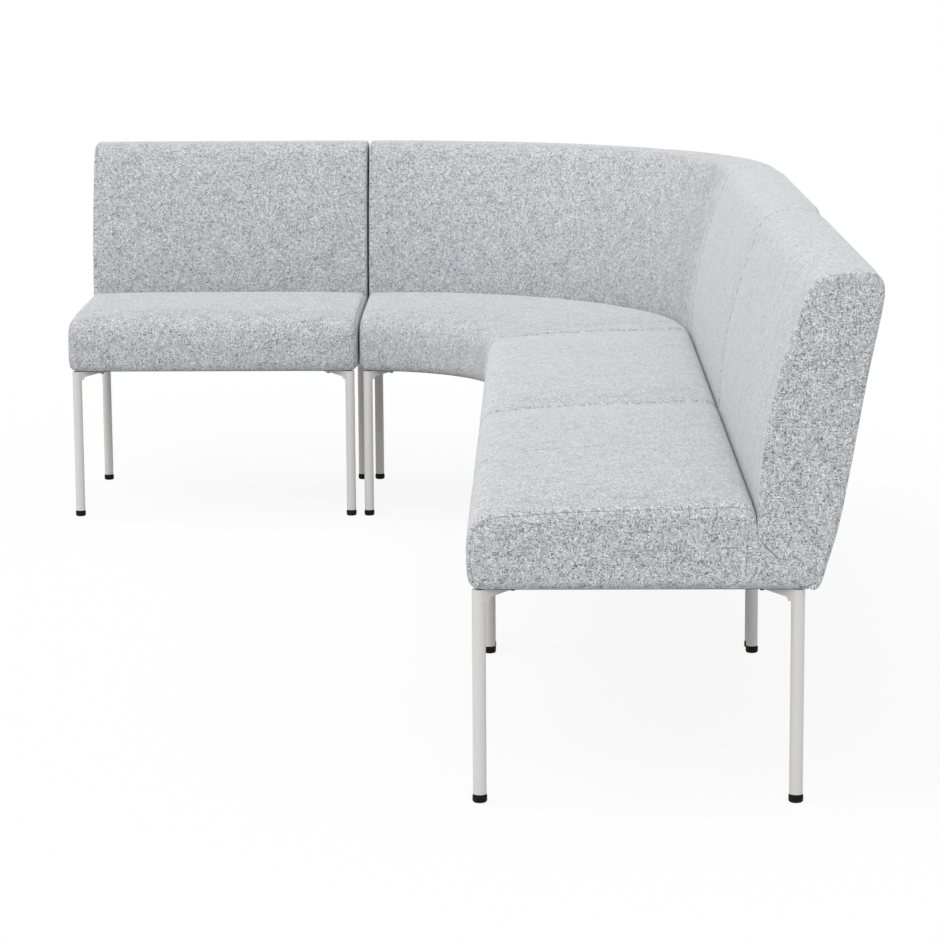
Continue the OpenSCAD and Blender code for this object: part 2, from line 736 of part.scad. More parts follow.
for (m = ALL) {
    seat_cushion(m);
    back_cushion(m);
    seat_frame(m);
    back_frame(m);
    for (k = [1:leg_count(m)]) {
        leg(m, k);
        glide(m, k);
    }
}
rear_covers();
dust_covers();
webbing_straps();
leg_inserts();
arm_screws();
link_plates();
link_bolts();
back_lag_screws();
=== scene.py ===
"""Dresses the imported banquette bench: padded wool cushions, painted legs and a plain pale studio.

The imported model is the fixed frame. Every soft piece is worked out from the boxes of the nodes
that it stands for, so it stays where they are.
"""

import json
import logging
import math
from dataclasses import dataclass, field, replace
from enum import Enum

import bmesh
import bpy
import numpy as np
from mathutils import Matrix, Vector, noise


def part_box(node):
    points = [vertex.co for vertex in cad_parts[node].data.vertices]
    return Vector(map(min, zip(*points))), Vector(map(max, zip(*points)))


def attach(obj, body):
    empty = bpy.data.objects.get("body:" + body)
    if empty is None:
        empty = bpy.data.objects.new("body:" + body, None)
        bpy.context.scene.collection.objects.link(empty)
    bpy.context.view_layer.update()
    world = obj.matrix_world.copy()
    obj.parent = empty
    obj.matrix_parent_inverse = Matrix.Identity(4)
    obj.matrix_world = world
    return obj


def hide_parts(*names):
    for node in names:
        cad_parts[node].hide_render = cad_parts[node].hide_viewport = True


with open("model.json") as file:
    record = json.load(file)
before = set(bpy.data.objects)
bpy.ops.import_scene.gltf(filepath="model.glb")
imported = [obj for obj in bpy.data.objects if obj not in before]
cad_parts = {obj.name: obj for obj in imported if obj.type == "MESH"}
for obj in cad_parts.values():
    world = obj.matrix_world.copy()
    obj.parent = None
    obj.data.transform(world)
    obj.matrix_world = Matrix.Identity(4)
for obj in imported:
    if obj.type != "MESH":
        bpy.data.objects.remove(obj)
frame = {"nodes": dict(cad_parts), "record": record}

LOG = logging.getLogger("bench")
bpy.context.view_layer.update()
BODY = "bench"
CLOTH_MAP = "cloth"
SEWN_MARK = "sewn"
WHITE = (1, 1, 1, 1)
# Two places nearer than this are one, in metres
SAME_PLACE = 1e-5
Triple = tuple[float, float, float]
Colour = tuple[float, float, float, float]


class Shape(Enum):
    """How a module runs in plan."""

    STRAIGHT = "straight"
    CURVED = "curved"


class Measure(Enum):
    """What a station's place is measured by."""

    FROM_START = "distance from the module's first end"
    ANGLE = "angle round the corner"
    FROM_END = "distance from the corner's second end"


class Slot(Enum):
    """The record's material slots."""

    COVER = "cover_fabric"
    PAINT = "leg_paint"
    PLASTIC = "glide_plastic"
    WOOD = "frame_wood"
    DUST_CLOTH = "dust_cloth"
    WEBBING = "strap_webbing"
    BLACK_STEEL = "black_steel"
    ZINC_STEEL = "zinc_steel"


def smooth(share: float) -> float:
    """Eases a share from 0 to 1 and holds it there."""
    s = min(max(share, 0.0), 1.0)
    return s * s * (3 - 2 * s)


@dataclass(frozen=True)
class Station:
    """One ring of a cushion: where it stands along the module and how far it is drawn in.

    round_run is how much further the cloth runs than the place says, where it rounds an end, and
    sewn is above 0, up to 1, on a line of stitches, where the cover paints the groove's shade.
    """

    place: float
    inset: float = 0.0
    crown: float = 1.0
    measure: Measure = Measure.FROM_START
    round_run: float = 0.0
    sewn: float = 0.0


@dataclass(frozen=True)
class Placement:
    """Where a module stands on the floor.

    A straight module has its first end's front corner at origin, its length along `run` and its
    depth along `back`. A curved one has the centre of its curve at origin and its front edge at
    radius.
    """

    shape: Shape
    origin: tuple[float, float]
    run: tuple[float, float] = (1.0, 0.0)
    back: tuple[float, float] = (0.0, 1.0)
    length: float = 0.0
    radius: float = 0.0

    def ring(self, station: Station, section: np.ndarray) -> np.ndarray:
        """Places a section of depths and heights on a station.

        Args:
            station: The ring's place along the module.
            section: One row of depth and height for each point.

        Returns:
            One row of x, y and z for each point.
        """
        depth, height = section[:, 0], section[:, 1]
        if self.shape is Shape.STRAIGHT:
            x = self.origin[0] + station.place * self.run[0] + depth * self.back[0]
            y = self.origin[1] + station.place * self.run[1] + depth * self.back[1]
            return np.column_stack([x, y, height])
        reach = self.radius + depth
        if station.measure is Measure.ANGLE:
            along, away = reach * math.sin(station.place), reach * math.cos(station.place)
        elif station.measure is Measure.FROM_START:
            along = np.full_like(reach, station.place)
            away = np.sqrt(reach**2 - station.place**2)
        else:
            away = np.full_like(reach, station.place)
            along = np.sqrt(reach**2 - station.place**2)
        return np.column_stack([self.origin[0] + along, self.origin[1] + away, height])


@dataclass(frozen=True)
class Envelope:
    """The sizes that every cushion shares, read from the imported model."""

    crease: float
    lean: float
    base: float
    thickness: float
    top: float

    @classmethod
    def from_frame(cls) -> "Envelope":
        """Measures the left module's cushions, whose depth runs along Y.

        Returns:
            The shared sizes.
        """
        seat_low, seat_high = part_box("left_seat_cushion")
        back_low, back_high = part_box("left_back_cushion")
        return cls(
            crease=back_low.y - seat_low.y,
            lean=back_high.y - back_low.y,
            base=seat_low.z,
            thickness=seat_high.z - seat_low.z,
            top=back_high.z,
        )

    @property
    def crease_height(self) -> float:
        """How high the crease between seat and back lies."""
        return self.base + CREASE_SHARE * self.thickness


def place_object(name: str, data: bpy.types.ID) -> bpy.types.Object:
    """Puts an object into the scene.

    Args:
        name: The object's name.
        data: Its mesh, camera or lamp.

    Returns:
        The new object.
    """
    made = bpy.data.objects.new(name, data)
    bpy.context.scene.collection.objects.link(made)
    return made


# How many points lie between two given ones before they are spaced evenly
CURVE_STEPS = 24
# The least distance between two given points
SAME_POINT = 1e-6


def between(now: float, first: float, last: float, start: np.ndarray, end: np.ndarray) -> np.ndarray:
    """The point that lies between start and end as now lies between the times first and last."""
    return (last - now) / (last - first) * start + (now - first) / (last - first) * end


def closed_curve(points: np.ndarray, count: int) -> np.ndarray:
    """Draws a smooth closed curve through points and spaces new ones evenly along it.

    Args:
        points: Rows of values, the first two of which are a place in the plane.
        count: How many points the result has.

    Returns:
        The new rows, in the same order.
    """
    rows = []
    for i in range(len(points)):
        near = [points[(i + k - 1) % len(points)] for k in range(4)]
        times = [0.0]
        for here, there in zip(near, near[1:]):
            times.append(times[-1] + max(np.linalg.norm((there - here)[:2]), SAME_POINT) ** 0.5)
        for now in np.linspace(times[1], times[2], CURVE_STEPS, endpoint=False):
            once = [between(now, times[k], times[k + 1], near[k], near[k + 1]) for k in range(3)]
            twice = [between(now, times[k], times[k + 2], once[k], once[k + 1]) for k in range(2)]
            rows.append(between(now, times[1], times[2], twice[0], twice[1]))
    dense = np.array(rows + [rows[0]])
    gaps = np.linalg.norm(np.diff(dense[:, :2], axis=0), axis=1)
    lengths = np.concatenate([[0.0], np.cumsum(gaps)])
    wanted = np.linspace(0.0, lengths[-1], count, endpoint=False)
    return np.column_stack([np.interp(wanted, lengths, dense[:, k]) for k in range(dense.shape[1])])


@dataclass(frozen=True)
class Ring:
    """One loop of points, with what the cloth's map needs to know of it."""

    points: np.ndarray
    section: np.ndarray
    along: float = 0.0
    on_end: bool = False
    sewn: float = 0.0

    def map_place(self, index: int, girth: np.ndarray, flat: bool) -> tuple[float, float]:
        """Where a point lies on the cloth.

        Args:
            index: The point's number round the ring.
            girth: How far round the cushion each point lies.
            flat: Whether the point is asked for as one of a flat end panel.

        Returns:
            The place along and round the cushion, or the depth and height on its end panel.
        """
        if flat:
            depth, height = self.section[index % len(self.points)]
            return float(depth), float(height)
        return self.along, float(girth[index])


# Angles of the rings round an end, from its outermost ring, besides those at its seam
EARLY_TURN = 0.15
LATE_TURNS = (0.95, 1.15, 1.35, math.pi / 2)
# How far the outer rings of a seam lie from it, counted in its inner rings' turn
SEAM_SPREAD = 4
# The space between the rings of a sewn line across the middle, in metres
GROOVE_SPACE = 0.004
# The rings of an end panel, as shares of its edge
CAP_SHARES = (0.9, 0.74, 0.56, 0.38, 0.2, 0.0)


@dataclass
class Cushion:
    """A padded piece, lofted through rings and then swollen by a cloth simulation."""

    name: str
    placement: Placement
    envelope: Envelope
    outline_points: int = 104
    end_radius: float = 0.019
    seam_inset: float = 0.006
    seam_depth: float = 0.0034
    seam_turn: float = 0.05
    # How dark the painted shade in the grooves of the end seams is, from 0 to 1
    seam_shade_share: float = 1.0
    crown_run: float = 0.17
    ring_space: float = 0.022
    end_dome: float = 0.0012
    swell_cap: float = 0.004
    middle_seam: float = 0.0
    fill: float = 0.8
    # Counted in end radii: where the turned rings of a curved cushion start, and where the swelling
    # starts and how far it takes to be full
    bend_clear: float = 2.4
    held_run: float = 0.3
    free_run: float = 3.0

    def outline(self) -> np.ndarray:
        """The section: rows of depth, height, share of the crown and freedom to swell."""
        raise NotImplementedError

    def crown_shift(self) -> tuple[float, float]:
        """How far the crown moves in depth and in height at the ends."""
        raise NotImplementedError

    def end_stations(self) -> list[Station]:
        """The rings of a rounded end, with the sewn seam of the end panel pressed in.

        Returns:
            The stations from the outermost ring inwards.
        """
        r, half = self.end_radius, self.seam_turn
        wide = SEAM_SPREAD * half
        seam = math.asin(1 - self.seam_inset / r)
        turns = [0.0, EARLY_TURN, seam - wide, seam - half, seam, seam + half, seam + wide]
        turns += [t for t in LATE_TURNS if t > turns[-1] + half]
        stations = []
        for turn in turns:
            drawn = self.seam_depth if turn == seam else 0.0
            place, inset = r * (1 - math.cos(turn)), r * (1 - math.sin(turn))
            stations.append(Station(
                place + drawn * math.cos(turn),
                inset + drawn * math.sin(turn),
                self.crown_at(place),
                round_run=r - place - r * (math.pi / 2 - turn),
                sewn=self.seam_shade_share if drawn else 0.0,
            ))
        return stations

    def crown_at(self, distance: float) -> float:
        """How much of the full crown a ring has at a distance from the nearer end."""
        return smooth(distance / self.crown_run)

    def stations(self) -> list[Station]:
        """Every ring along the module.

        Returns:
            The stations from the first end to the second.
        """
        ends = self.end_stations()
        where = self.placement
        if where.shape is Shape.STRAIGHT:
            first, last = self.end_radius, where.length - self.end_radius
            count = max(4, round((last - first) / self.ring_space))
            inner = [first + (last - first) * i / count for i in range(1, count)]
            middle = [
                Station(p, self.middle_groove(p), self.crown_at(min(p, where.length - p)))
                for p in self.with_groove_rings(inner)
            ]
            far = [
                replace(s, place=where.length - s.place, round_run=-s.round_run) for s in reversed(ends)
            ]
            return ends + middle + far
        mid_radius = where.radius + self.envelope.crease / 2
        count = round(math.pi / 2 * (where.radius + self.envelope.crease) / self.ring_space)
        first = self.bend_clear * self.end_radius / mid_radius
        angles = np.linspace(first, math.pi / 2 - first, count)
        middle = [
            Station(a, 0.0, self.crown_at(min(a, math.pi / 2 - a) * mid_radius), Measure.ANGLE)
            for a in angles
        ]
        far = [replace(s, measure=Measure.FROM_END) for s in reversed(ends)]
        return ends + middle + far

    def with_groove_rings(self, places: list[float]) -> list[float]:
        """Adds close rings around a sewn line across the middle, if there is one.

        Args:
            places: The rings' places without it.

        Returns:
            The places in order.
        """
        if not self.middle_seam:
            return places
        middle = self.placement.length / 2
        kept = [p for p in places if abs(p - middle) > 3 * GROOVE_SPACE]
        return sorted(kept + [middle + k * GROOVE_SPACE for k in (-2, -1, 0, 1, 2)])

    def middle_groove(self, place: float) -> float:
        """How far the sewn line across the middle draws a ring in."""
        return self.middle_seam if abs(place - self.placement.length / 2) <= SAME_PLACE else 0.0

    def drawn_in(self, points: np.ndarray, inset: float) -> np.ndarray:
        """Draws a section in by an inset, but keeps it on the line that seat and back share."""
        raise NotImplementedError

    def section(self, outline: np.ndarray, station: Station) -> np.ndarray:
        """Sets the outline's crown for a station and draws it in by the station's inset.

        Args:
            outline: The full section, as outline() gives it.
            station: The ring's place.

        Returns:
            Rows of depth and height.
        """
        shift = np.array(self.crown_shift())
        points = outline[:, :2] + (1 - station.crown) * outline[:, 2:3] * shift
        return self.drawn_in(points, station.inset)

    def along(self, station: Station) -> float:
        """How far a ring lies along the module, for the cloth's map.

        Args:
            station: The ring's place.

        Returns:
            The run of the cloth from the first end.
        """
        run = station.place + station.round_run
        if self.placement.shape is Shape.STRAIGHT:
            return run
        reach = self.placement.radius + self.map_depth()
        return {
            Measure.FROM_START: run,
            Measure.ANGLE: station.place * reach,
            Measure.FROM_END: math.pi / 2 * reach - run,
        }[station.measure]

    def map_depth(self) -> float:
        """The depth at which the cloth's map of a curved cushion has its true length."""
        raise NotImplementedError

    def cap_rings(self, outline: np.ndarray, station: Station, outward: float) -> list[Ring]:
        """Rings that close an end with a slightly domed panel, from its edge to its middle.

        Args:
            outline: The section's own points.
            station: The end's outermost station.
            outward: 1 or -1, the way along the module that leads out of it.

        Returns:
            The rings from the edge inwards, the last one a single point.
        """
        edge = self.section(outline, station)
        heart = edge.mean(0)
        rings = []
        for share in CAP_SHARES:
            dome = self.end_dome * (1 - share**2) * outward
            shrunk = heart + (edge - heart) * share
            moved = Station(station.place + dome, station.inset, station.crown, station.measure)
            shown = shrunk if share else shrunk[:1]
            rings.append(Ring(self.placement.ring(moved, shown), shown, on_end=True))
        return rings

    def build(self) -> bpy.types.Object:
        """Makes the cushion's mesh and swells it.

        Returns:
            The piece, as one object.
        """
        outline = self.outline()
        stations = self.stations()
        sections = [self.section(outline, s) for s in stations]
        body = [
            Ring(self.placement.ring(station, section), section, self.along(station), sewn=station.sewn)
            for station, section in zip(stations, sections)
        ]
        out_at_end = -1.0 if self.placement.shape is Shape.CURVED else 1.0
        start_cap = self.cap_rings(outline, stations[0], -1.0)
        end_cap = self.cap_rings(outline, stations[-1], out_at_end)
        rings = list(reversed(start_cap)) + body + end_cap
        piece = self.mesh_from_rings(rings)
        self.smooth_surface(piece, outline, len(start_cap), stations)
        return piece

    def mesh_from_rings(self, rings: list[Ring]) -> bpy.types.Object:
        """Joins rings into a closed mesh of quads with the cloth's map.

        Args:
            rings: The rings from the middle of the first end to the middle of the second.

        Returns:
            The new piece, with its faces turned outwards.
        """
        points = np.concatenate([ring.points for ring in rings])
        starts = np.cumsum([0] + [len(ring.points) for ring in rings]).tolist()
        middle = rings[len(rings) // 2].section
        steps = np.linalg.norm(np.diff(np.vstack([middle, middle[:1]]), axis=0), axis=1)
        girth = np.concatenate([[0.0], np.cumsum(steps)])
        faces: list[tuple[int, ...]] = []
        places: list[tuple[float, float]] = []
        for i, (here, there) in enumerate(zip(rings[:-1], rings[1:])):
            flat = here.on_end or there.on_end
            for j in range(max(len(here.points), len(there.points))):
                corners = {}
                quad = ((here, i, j), (there, i + 1, j), (there, i + 1, j + 1), (here, i, j + 1))
                for ring, start, index in quad:
                    vertex = starts[start] + index % len(ring.points)
                    corners.setdefault(vertex, ring.map_place(index, girth, flat))
                faces.append(tuple(corners))
                places.extend(corners.values())
        for ring, start in ((rings[0], 0), (rings[-1], starts[-2])):
            for j in range(len(ring.points) // 2 - 1):
                k = len(ring.points) - 1 - j
                around = (j, j + 1, k - 1, k)
                faces.append(tuple(start + a for a in around))
                places.extend(ring.map_place(a, girth, True) for a in around)
        mesh = bpy.data.meshes.new(self.name + "_cover")
        mesh.from_pydata(points.tolist(), [], faces)
        chart = mesh.uv_layers.new(name=CLOTH_MAP)
        chart.data.foreach_set("uv", np.array(places, dtype=np.float32).ravel())
        sewn = np.concatenate([np.full(len(ring.points), ring.sewn) for ring in rings])
        mark = mesh.attributes.new(SEWN_MARK, "FLOAT", "POINT")
        mark.data.foreach_set("value", sewn.astype(np.float32))
        mesh.validate()
        mesh.shade_smooth()
        piece = place_object(self.name + "_cover", mesh)
        face_outwards(mesh)
        return piece

    def freedom(self, outline: np.ndarray, lead: int, stations: list[Station]) -> np.ndarray:
        """How freely each vertex may swell.

        Args:
            outline: The full section, whose last column is its freedom.
            lead: How many rings close each end.
            stations: The rings between the ends.

        Returns:
            For each vertex, 0 where the cover is sewn or held and 1 where it is free.
        """
        free = outline[:, 3]
        edge = self.end_radius
        rows = []
        for station in stations:
            away = station.place
            if self.placement.shape is Shape.STRAIGHT:
                away = min(away, self.placement.length - away)
            elif station.measure is Measure.ANGLE:
                away = min(away, math.pi / 2 - away) * self.placement.radius
            rows.append(free * smooth((away - self.held_run * edge) / (self.free_run * edge)))
        cap = np.zeros(1 + (lead - 1) * len(outline))
        return np.concatenate([cap, *rows, cap])

    def smooth_surface(
        self, piece: bpy.types.Object, outline: np.ndarray, lead: int, stations: list[Station]
    ) -> None:
        """Swells the cover with a cloth simulation, ripples it lightly and adds one subdivision.

        Args:
            piece: The cushion's mesh object.
            outline: The full section.
            lead: How many rings close each end.
            stations: The rings between the ends.
        """
        mesh = piece.data
        rest = mesh_points(mesh)
        free = self.freedom(outline, lead, stations)
        moved = swell(piece, free) - rest
        lengths = np.linalg.norm(moved, axis=1)
        if lengths.max() > 0:
            moved *= self.swell_cap / max(lengths.max(), self.swell_cap)
        normals = mesh_normals(mesh)
        ripple = np.array([soft_ripple(Vector(p)) for p in rest])
        set_points(mesh, rest + moved * free[:, None] + normals * (ripple * free)[:, None])
        subdivide(piece)


# How often the cloth's unevenness repeats in a metre, and how high it is in metres
BROAD_RIPPLE = (7.0, 0.0011)
FINE_RIPPLE = (26.0, 0.00035)
FINE_SHIFT = Vector((3.1, 7.7, 1.9))
SWELL_FRAMES = 16
# A vertex with less freedom than this is held while the cushion swells
HELD_BELOW = 0.05
SWELL_SETTINGS = {
    "quality": 5,
    "mass": 0.4,
    "tension_stiffness": 25,
    "compression_stiffness": 25,
    "bending_stiffness": 2.0,
    "use_pressure": True,
    "uniform_pressure_force": 4.0,
    "vertex_group_mass": "held",
}


def subdivide(piece: bpy.types.Object) -> None:
    """Adds one subdivision, which leaves the cloth's map as it is.

    Args:
        piece: The mesh object.
    """
    subdivision = piece.modifiers.new("subdivision", "SUBSURF")
    subdivision.levels = 1
    subdivision.render_levels = 1
    subdivision.uv_smooth = "NONE"


def mesh_points(mesh: bpy.types.Mesh) -> np.ndarray:
    """Reads the mesh's points.

    Args:
        mesh: The mesh.

    Returns:
        One row of x, y and z for each point.
    """
    flat = np.zeros(len(mesh.vertices) * 3)
    mesh.vertices.foreach_get("co", flat)
    return flat.reshape(-1, 3)


def mesh_normals(mesh: bpy.types.Mesh) -> np.ndarray:
    """The mesh's vertex normals as rows."""
    return np.array([v.normal for v in mesh.vertices])


def set_points(mesh: bpy.types.Mesh, points: np.ndarray) -> None:
    """Moves the mesh's points."""
    mesh.vertices.foreach_set("co", points.astype(np.float32).ravel())
    mesh.update()


def face_outwards(mesh: bpy.types.Mesh) -> None:
    """Turns every face of a closed mesh the same way, outwards.

    Args:
        mesh: The mesh, which is changed.
    """
    work = bmesh.new()
    work.from_mesh(mesh)
    bmesh.ops.recalc_face_normals(work, faces=work.faces)
    work.to_mesh(mesh)
    work.free()
    mesh.update()


def soft_ripple(point: Vector) -> float:
    """The slight unevenness of hand-fitted cloth over foam, in metres."""
    broad = noise.noise(point * BROAD_RIPPLE[0]) * BROAD_RIPPLE[1]
    return broad + noise.noise(point * FINE_RIPPLE[0] + FINE_SHIFT) * FINE_RIPPLE[1]


def swell(piece: bpy.types.Object, free: np.ndarray) -> np.ndarray:
    """Inflates a copy of the piece as cloth and returns where its points end up.

    Args:
        piece: The cushion's mesh object.
        free: For each vertex, 0 where it is held and 1 where it is free.

    Returns:
        The simulated points.
    """
    scene = bpy.context.scene
    copy = place_object("swelling", piece.data.copy())
    held = copy.vertex_groups.new(name=SWELL_SETTINGS["vertex_group_mass"])
    for i in np.nonzero(free < HELD_BELOW)[0].tolist():
        held.add([i], 1.0, "REPLACE")
    cloth = copy.modifiers.new("cloth", "CLOTH")
    for name, value in SWELL_SETTINGS.items():
        setattr(cloth.settings, name, value)
    cloth.settings.effector_weights.gravity = 0.0
    cloth.point_cache.frame_start = 1
    cloth.point_cache.frame_end = SWELL_FRAMES
    for step in range(1, SWELL_FRAMES + 1):
        scene.frame_set(step)
    graph = bpy.context.evaluated_depsgraph_get()
    result = copy.evaluated_get(graph).to_mesh()
    points = mesh_points(result)
    copy.evaluated_get(graph).to_mesh_clear()
    scene.frame_set(1)
    spare = copy.data
    bpy.data.objects.remove(copy)
    bpy.data.meshes.remove(spare)
    return points


@dataclass
class SeatCushion(Cushion):
    """A seat: crowned on top, rounded at its front and bevelled against the back."""

    crown_drop: float = 0.004
    bottom_round: float = 0.85

    def outline(self) -> np.ndarray:
        """The seat's section, from SEAT_SHARES.

        Returns:
            Rows of depth, height, share of the crown and freedom to swell.
        """
        e = self.envelope
        rows = []
        for depth, lean, height, crown, free in SEAT_SHARES:
            rows.append((depth * e.crease + lean * e.lean, e.base + height * e.thickness, crown, free))
        return closed_curve(np.array(rows), self.outline_points)

    def crown_shift(self) -> tuple[float, float]:
        """A seat's crown drops towards its ends."""
        return 0.0, -self.crown_drop

    def map_depth(self) -> float:
        """The middle of the seat."""
        return self.envelope.crease / 2

    def mitre(self, height: np.ndarray) -> np.ndarray:
        """The line between seat and back.

        Args:
            height: The heights to ask for.

        Returns:
            The line's depth at each of them.
        """
        e = self.envelope
        leans = np.interp((height - e.base) / e.thickness, MITRE_HEIGHTS, MITRE_LEANS)
        return e.crease + leans * e.lean

    def drawn_in(self, points: np.ndarray, inset: float) -> np.ndarray:
        """Brings the front in, the top down and the bottom up nearly as much; the mitre stays.

        Args:
            points: Rows of depth and height.
            inset: How far to draw them in.

        Returns:
            The new rows.
        """
        depth, height = points.T
        e = self.envelope
        across = depth / self.mitre(height)
        rise = np.clip((height - e.base) / e.thickness, 0, 1)
        lowered = height + inset * (self.bottom_round * (1 - rise) - rise)
        return np.column_stack([across * self.mitre(lowered) + inset * (1 - across), lowered])


@dataclass
class BackCushion(Cushion):
    """A back: it leans, swells between its ends and is rounded over its top."""

    end_radius: float = 0.007
    seam_inset: float = 0.003
    seam_depth: float = 0.0012
    seam_turn: float = 0.10
    # The back's seams get a lighter painted groove shade
    seam_shade_share: float = 0.4
    crown_swell: float = 0.002
    outline_points: int = 112
    middle_foot: float = 0.35
    middle_head: float = 0.72
    half_thickness: float = 0.05
    mitre_fade: float = 0.03
    mitre_open: float = 0.012
    rear_swell: float = 0.003

    def outline(self) -> np.ndarray:
        """The back's section, from BACK_SHARES.

        Returns:
            Rows of depth, height, share of the crown and freedom to swell.
        """
        e = self.envelope
        rows = []
        for lean, low, high, crown, free in BACK_SHARES:
            height = e.base + low * e.thickness + high * (e.top - e.crease_height)
            rows.append((e.crease + lean * e.lean, height, crown, free))
        return closed_curve(np.array(rows), self.outline_points)

    def crown_shift(self) -> tuple[float, float]:
        """A back's front face lies further back towards its ends."""
        return self.crown_swell, 0.0

    def map_depth(self) -> float:
        """The middle of the back."""
        return self.envelope.crease + self.envelope.lean / 2

    def rise_and_side(self, points: np.ndarray) -> tuple[np.ndarray, np.ndarray]:
        """Where points lie on the back.

        Args:
            points: Rows of depth and height.

        Returns:
            How high each lies, from 0 at the crease to 1 at the top, and its side, from -1 on the
            front face to 1 on the rear face.
        """
        depth, height = points.T
        e = self.envelope
        rise = np.clip((height - e.crease_height) / (e.top - e.crease_height), 0, 1)
        middle = e.crease + e.lean * (self.middle_foot + (self.middle_head - self.middle_foot) * rise)
        return rise, np.clip((depth - middle) / self.half_thickness, -1, 1)

    def section(self, outline: np.ndarray, station: Station) -> np.ndarray:
        """The cushion's section, with its upper rear swollen between the ends.

        Args:
            outline: The full section.
            station: The ring's place.

        Returns:
            Rows of depth and height.
        """
        points = super().section(outline, station)
        rise, side = self.rise_and_side(points)
        swollen = self.rear_swell * station.crown * rise * np.clip(side, 0, 1)
        return points + np.column_stack([swollen, np.zeros_like(swollen)])

    def drawn_in(self, points: np.ndarray, inset: float) -> np.ndarray:
        """Brings both faces in and the top down, but below the crease the front stays.

        Args:
            points: Rows of depth and height.
            inset: How far to draw them in.

        Returns:
            The new rows.
        """
        depth, height = points.T
        rise, side = self.rise_and_side(points)
        open_from = self.envelope.crease_height - self.mitre_open
        clear = np.clip((height - open_from) / self.mitre_fade, 0, 1)
        held = np.where(side < 0, clear * clear * (3 - 2 * clear), 1.0)
        return np.column_stack([depth - inset * side * held, height - inset * rise])


# How high the crease lies, as a share of the seat's thickness
CREASE_SHARE = 0.797
# The line between seat and back: shares of the seat's thickness, and of the lean at those heights
MITRE_HEIGHTS = (0.0, 0.025, 0.399, 0.663, 1.0)
MITRE_LEANS = (0.4345, 0.4345, 0.158, 0.0, 0.0)
# Rows of the seat's section, clockwise with the front on the left: shares of the crease's depth, of
# the lean and of the thickness, then how much of the crown and of the swelling each point takes
SEAT_SHARES = (
    (0.30, 0, 0, 0, 0), (0.130, 0, 0, 0, 0), (0.043, 0, 0, 0, 0), (0.022, 0, 0.014, 0, 0),
    (0.009, 0, 0.066, 0, 0.3), (0.0015, 0, 0.19, 0, 0.7), (0, 0, 0.36, 0, 1), (0, 0, 0.51, 0, 1),
    (0.005, 0, 0.66, 0, 1),
    (0.018, 0, 0.785, 0.3, 1), (0.043, 0, 0.862, 0.6, 1), (0.085, 0, 0.91, 0.8, 1),
    (0.174, 0, 0.945, 1, 1), (0.326, 0, 0.985, 1, 1), (0.522, 0, 1.008, 1, 1), (0.717, 0, 1.025, 1, 1),
    (0.870, 0, 1.037, 0.9, 0.8), (0.942, 0, 1.035, 0.7, 0.4), (0.976, 0, 1.005, 0.5, 0.1),
    (0.994, 0, 0.945, 0.3, 0), (1.001, 0, 0.797, 0.2, 0), (0.999, 0, 0.663, 0, 0),
    (0.999, 0.155, 0.399, 0, 0), (1, 0.478, 0.03, 0, 0), (1, 0.462, 0, 0, 0), (1, 0.28, 0, 0, 0),
    (0.8, 0, 0, 0, 0), (0.55, 0, 0, 0, 0),
)
# Rows of the back's section: shares of the lean, of the seat's thickness and of the height above
# the crease, then how much of the swell and of the swelling each point takes
BACK_SHARES = (
    (0.4355, 0.025, 0, 0, 0), (0.159, 0.399, 0, 0, 0), (0.002, 0.663, 0, 0, 0), (0.003, 0.797, 0, 0, 0),
    (0.009, 0.797, 0.051, 0.2, 0.3), (0.022, 0.797, 0.203, 0.8, 1), (0.046, 0.797, 0.329, 1, 1),
    (0.096, 0.797, 0.463, 1, 1), (0.165, 0.797, 0.608, 1, 1), (0.250, 0.797, 0.742, 0.8, 1),
    (0.340, 0.797, 0.861, 0.5, 1), (0.388, 0.797, 0.922, 0.3, 1), (0.445, 0.797, 0.966, 0, 0.8),
    (0.540, 0.797, 0.991, 0, 0.6), (0.700, 0.797, 1.002, 0, 0.6), (0.860, 0.797, 1.004, 0, 0.5),
    (0.949, 0.797, 0.992, 0, 0.4), (0.992, 0.797, 0.960, 0, 0.3), (1, 0.797, 0.916, 0, 0.2),
    (0.980, 0.797, 0.848, 0, 0.2), (0.883, 0.797, 0.608, 0, 0.2), (0.751, 0.797, 0.228, 0, 0.2),
    (0.660, 0.797, -0.013, 0, 0.2), (0.568, 0.29, 0, 0, 0.1), (0.518, 0.06, 0, 0, 0),
    (0.487, 0, 0, 0, 0), (0.452, 0, 0, 0, 0),
)


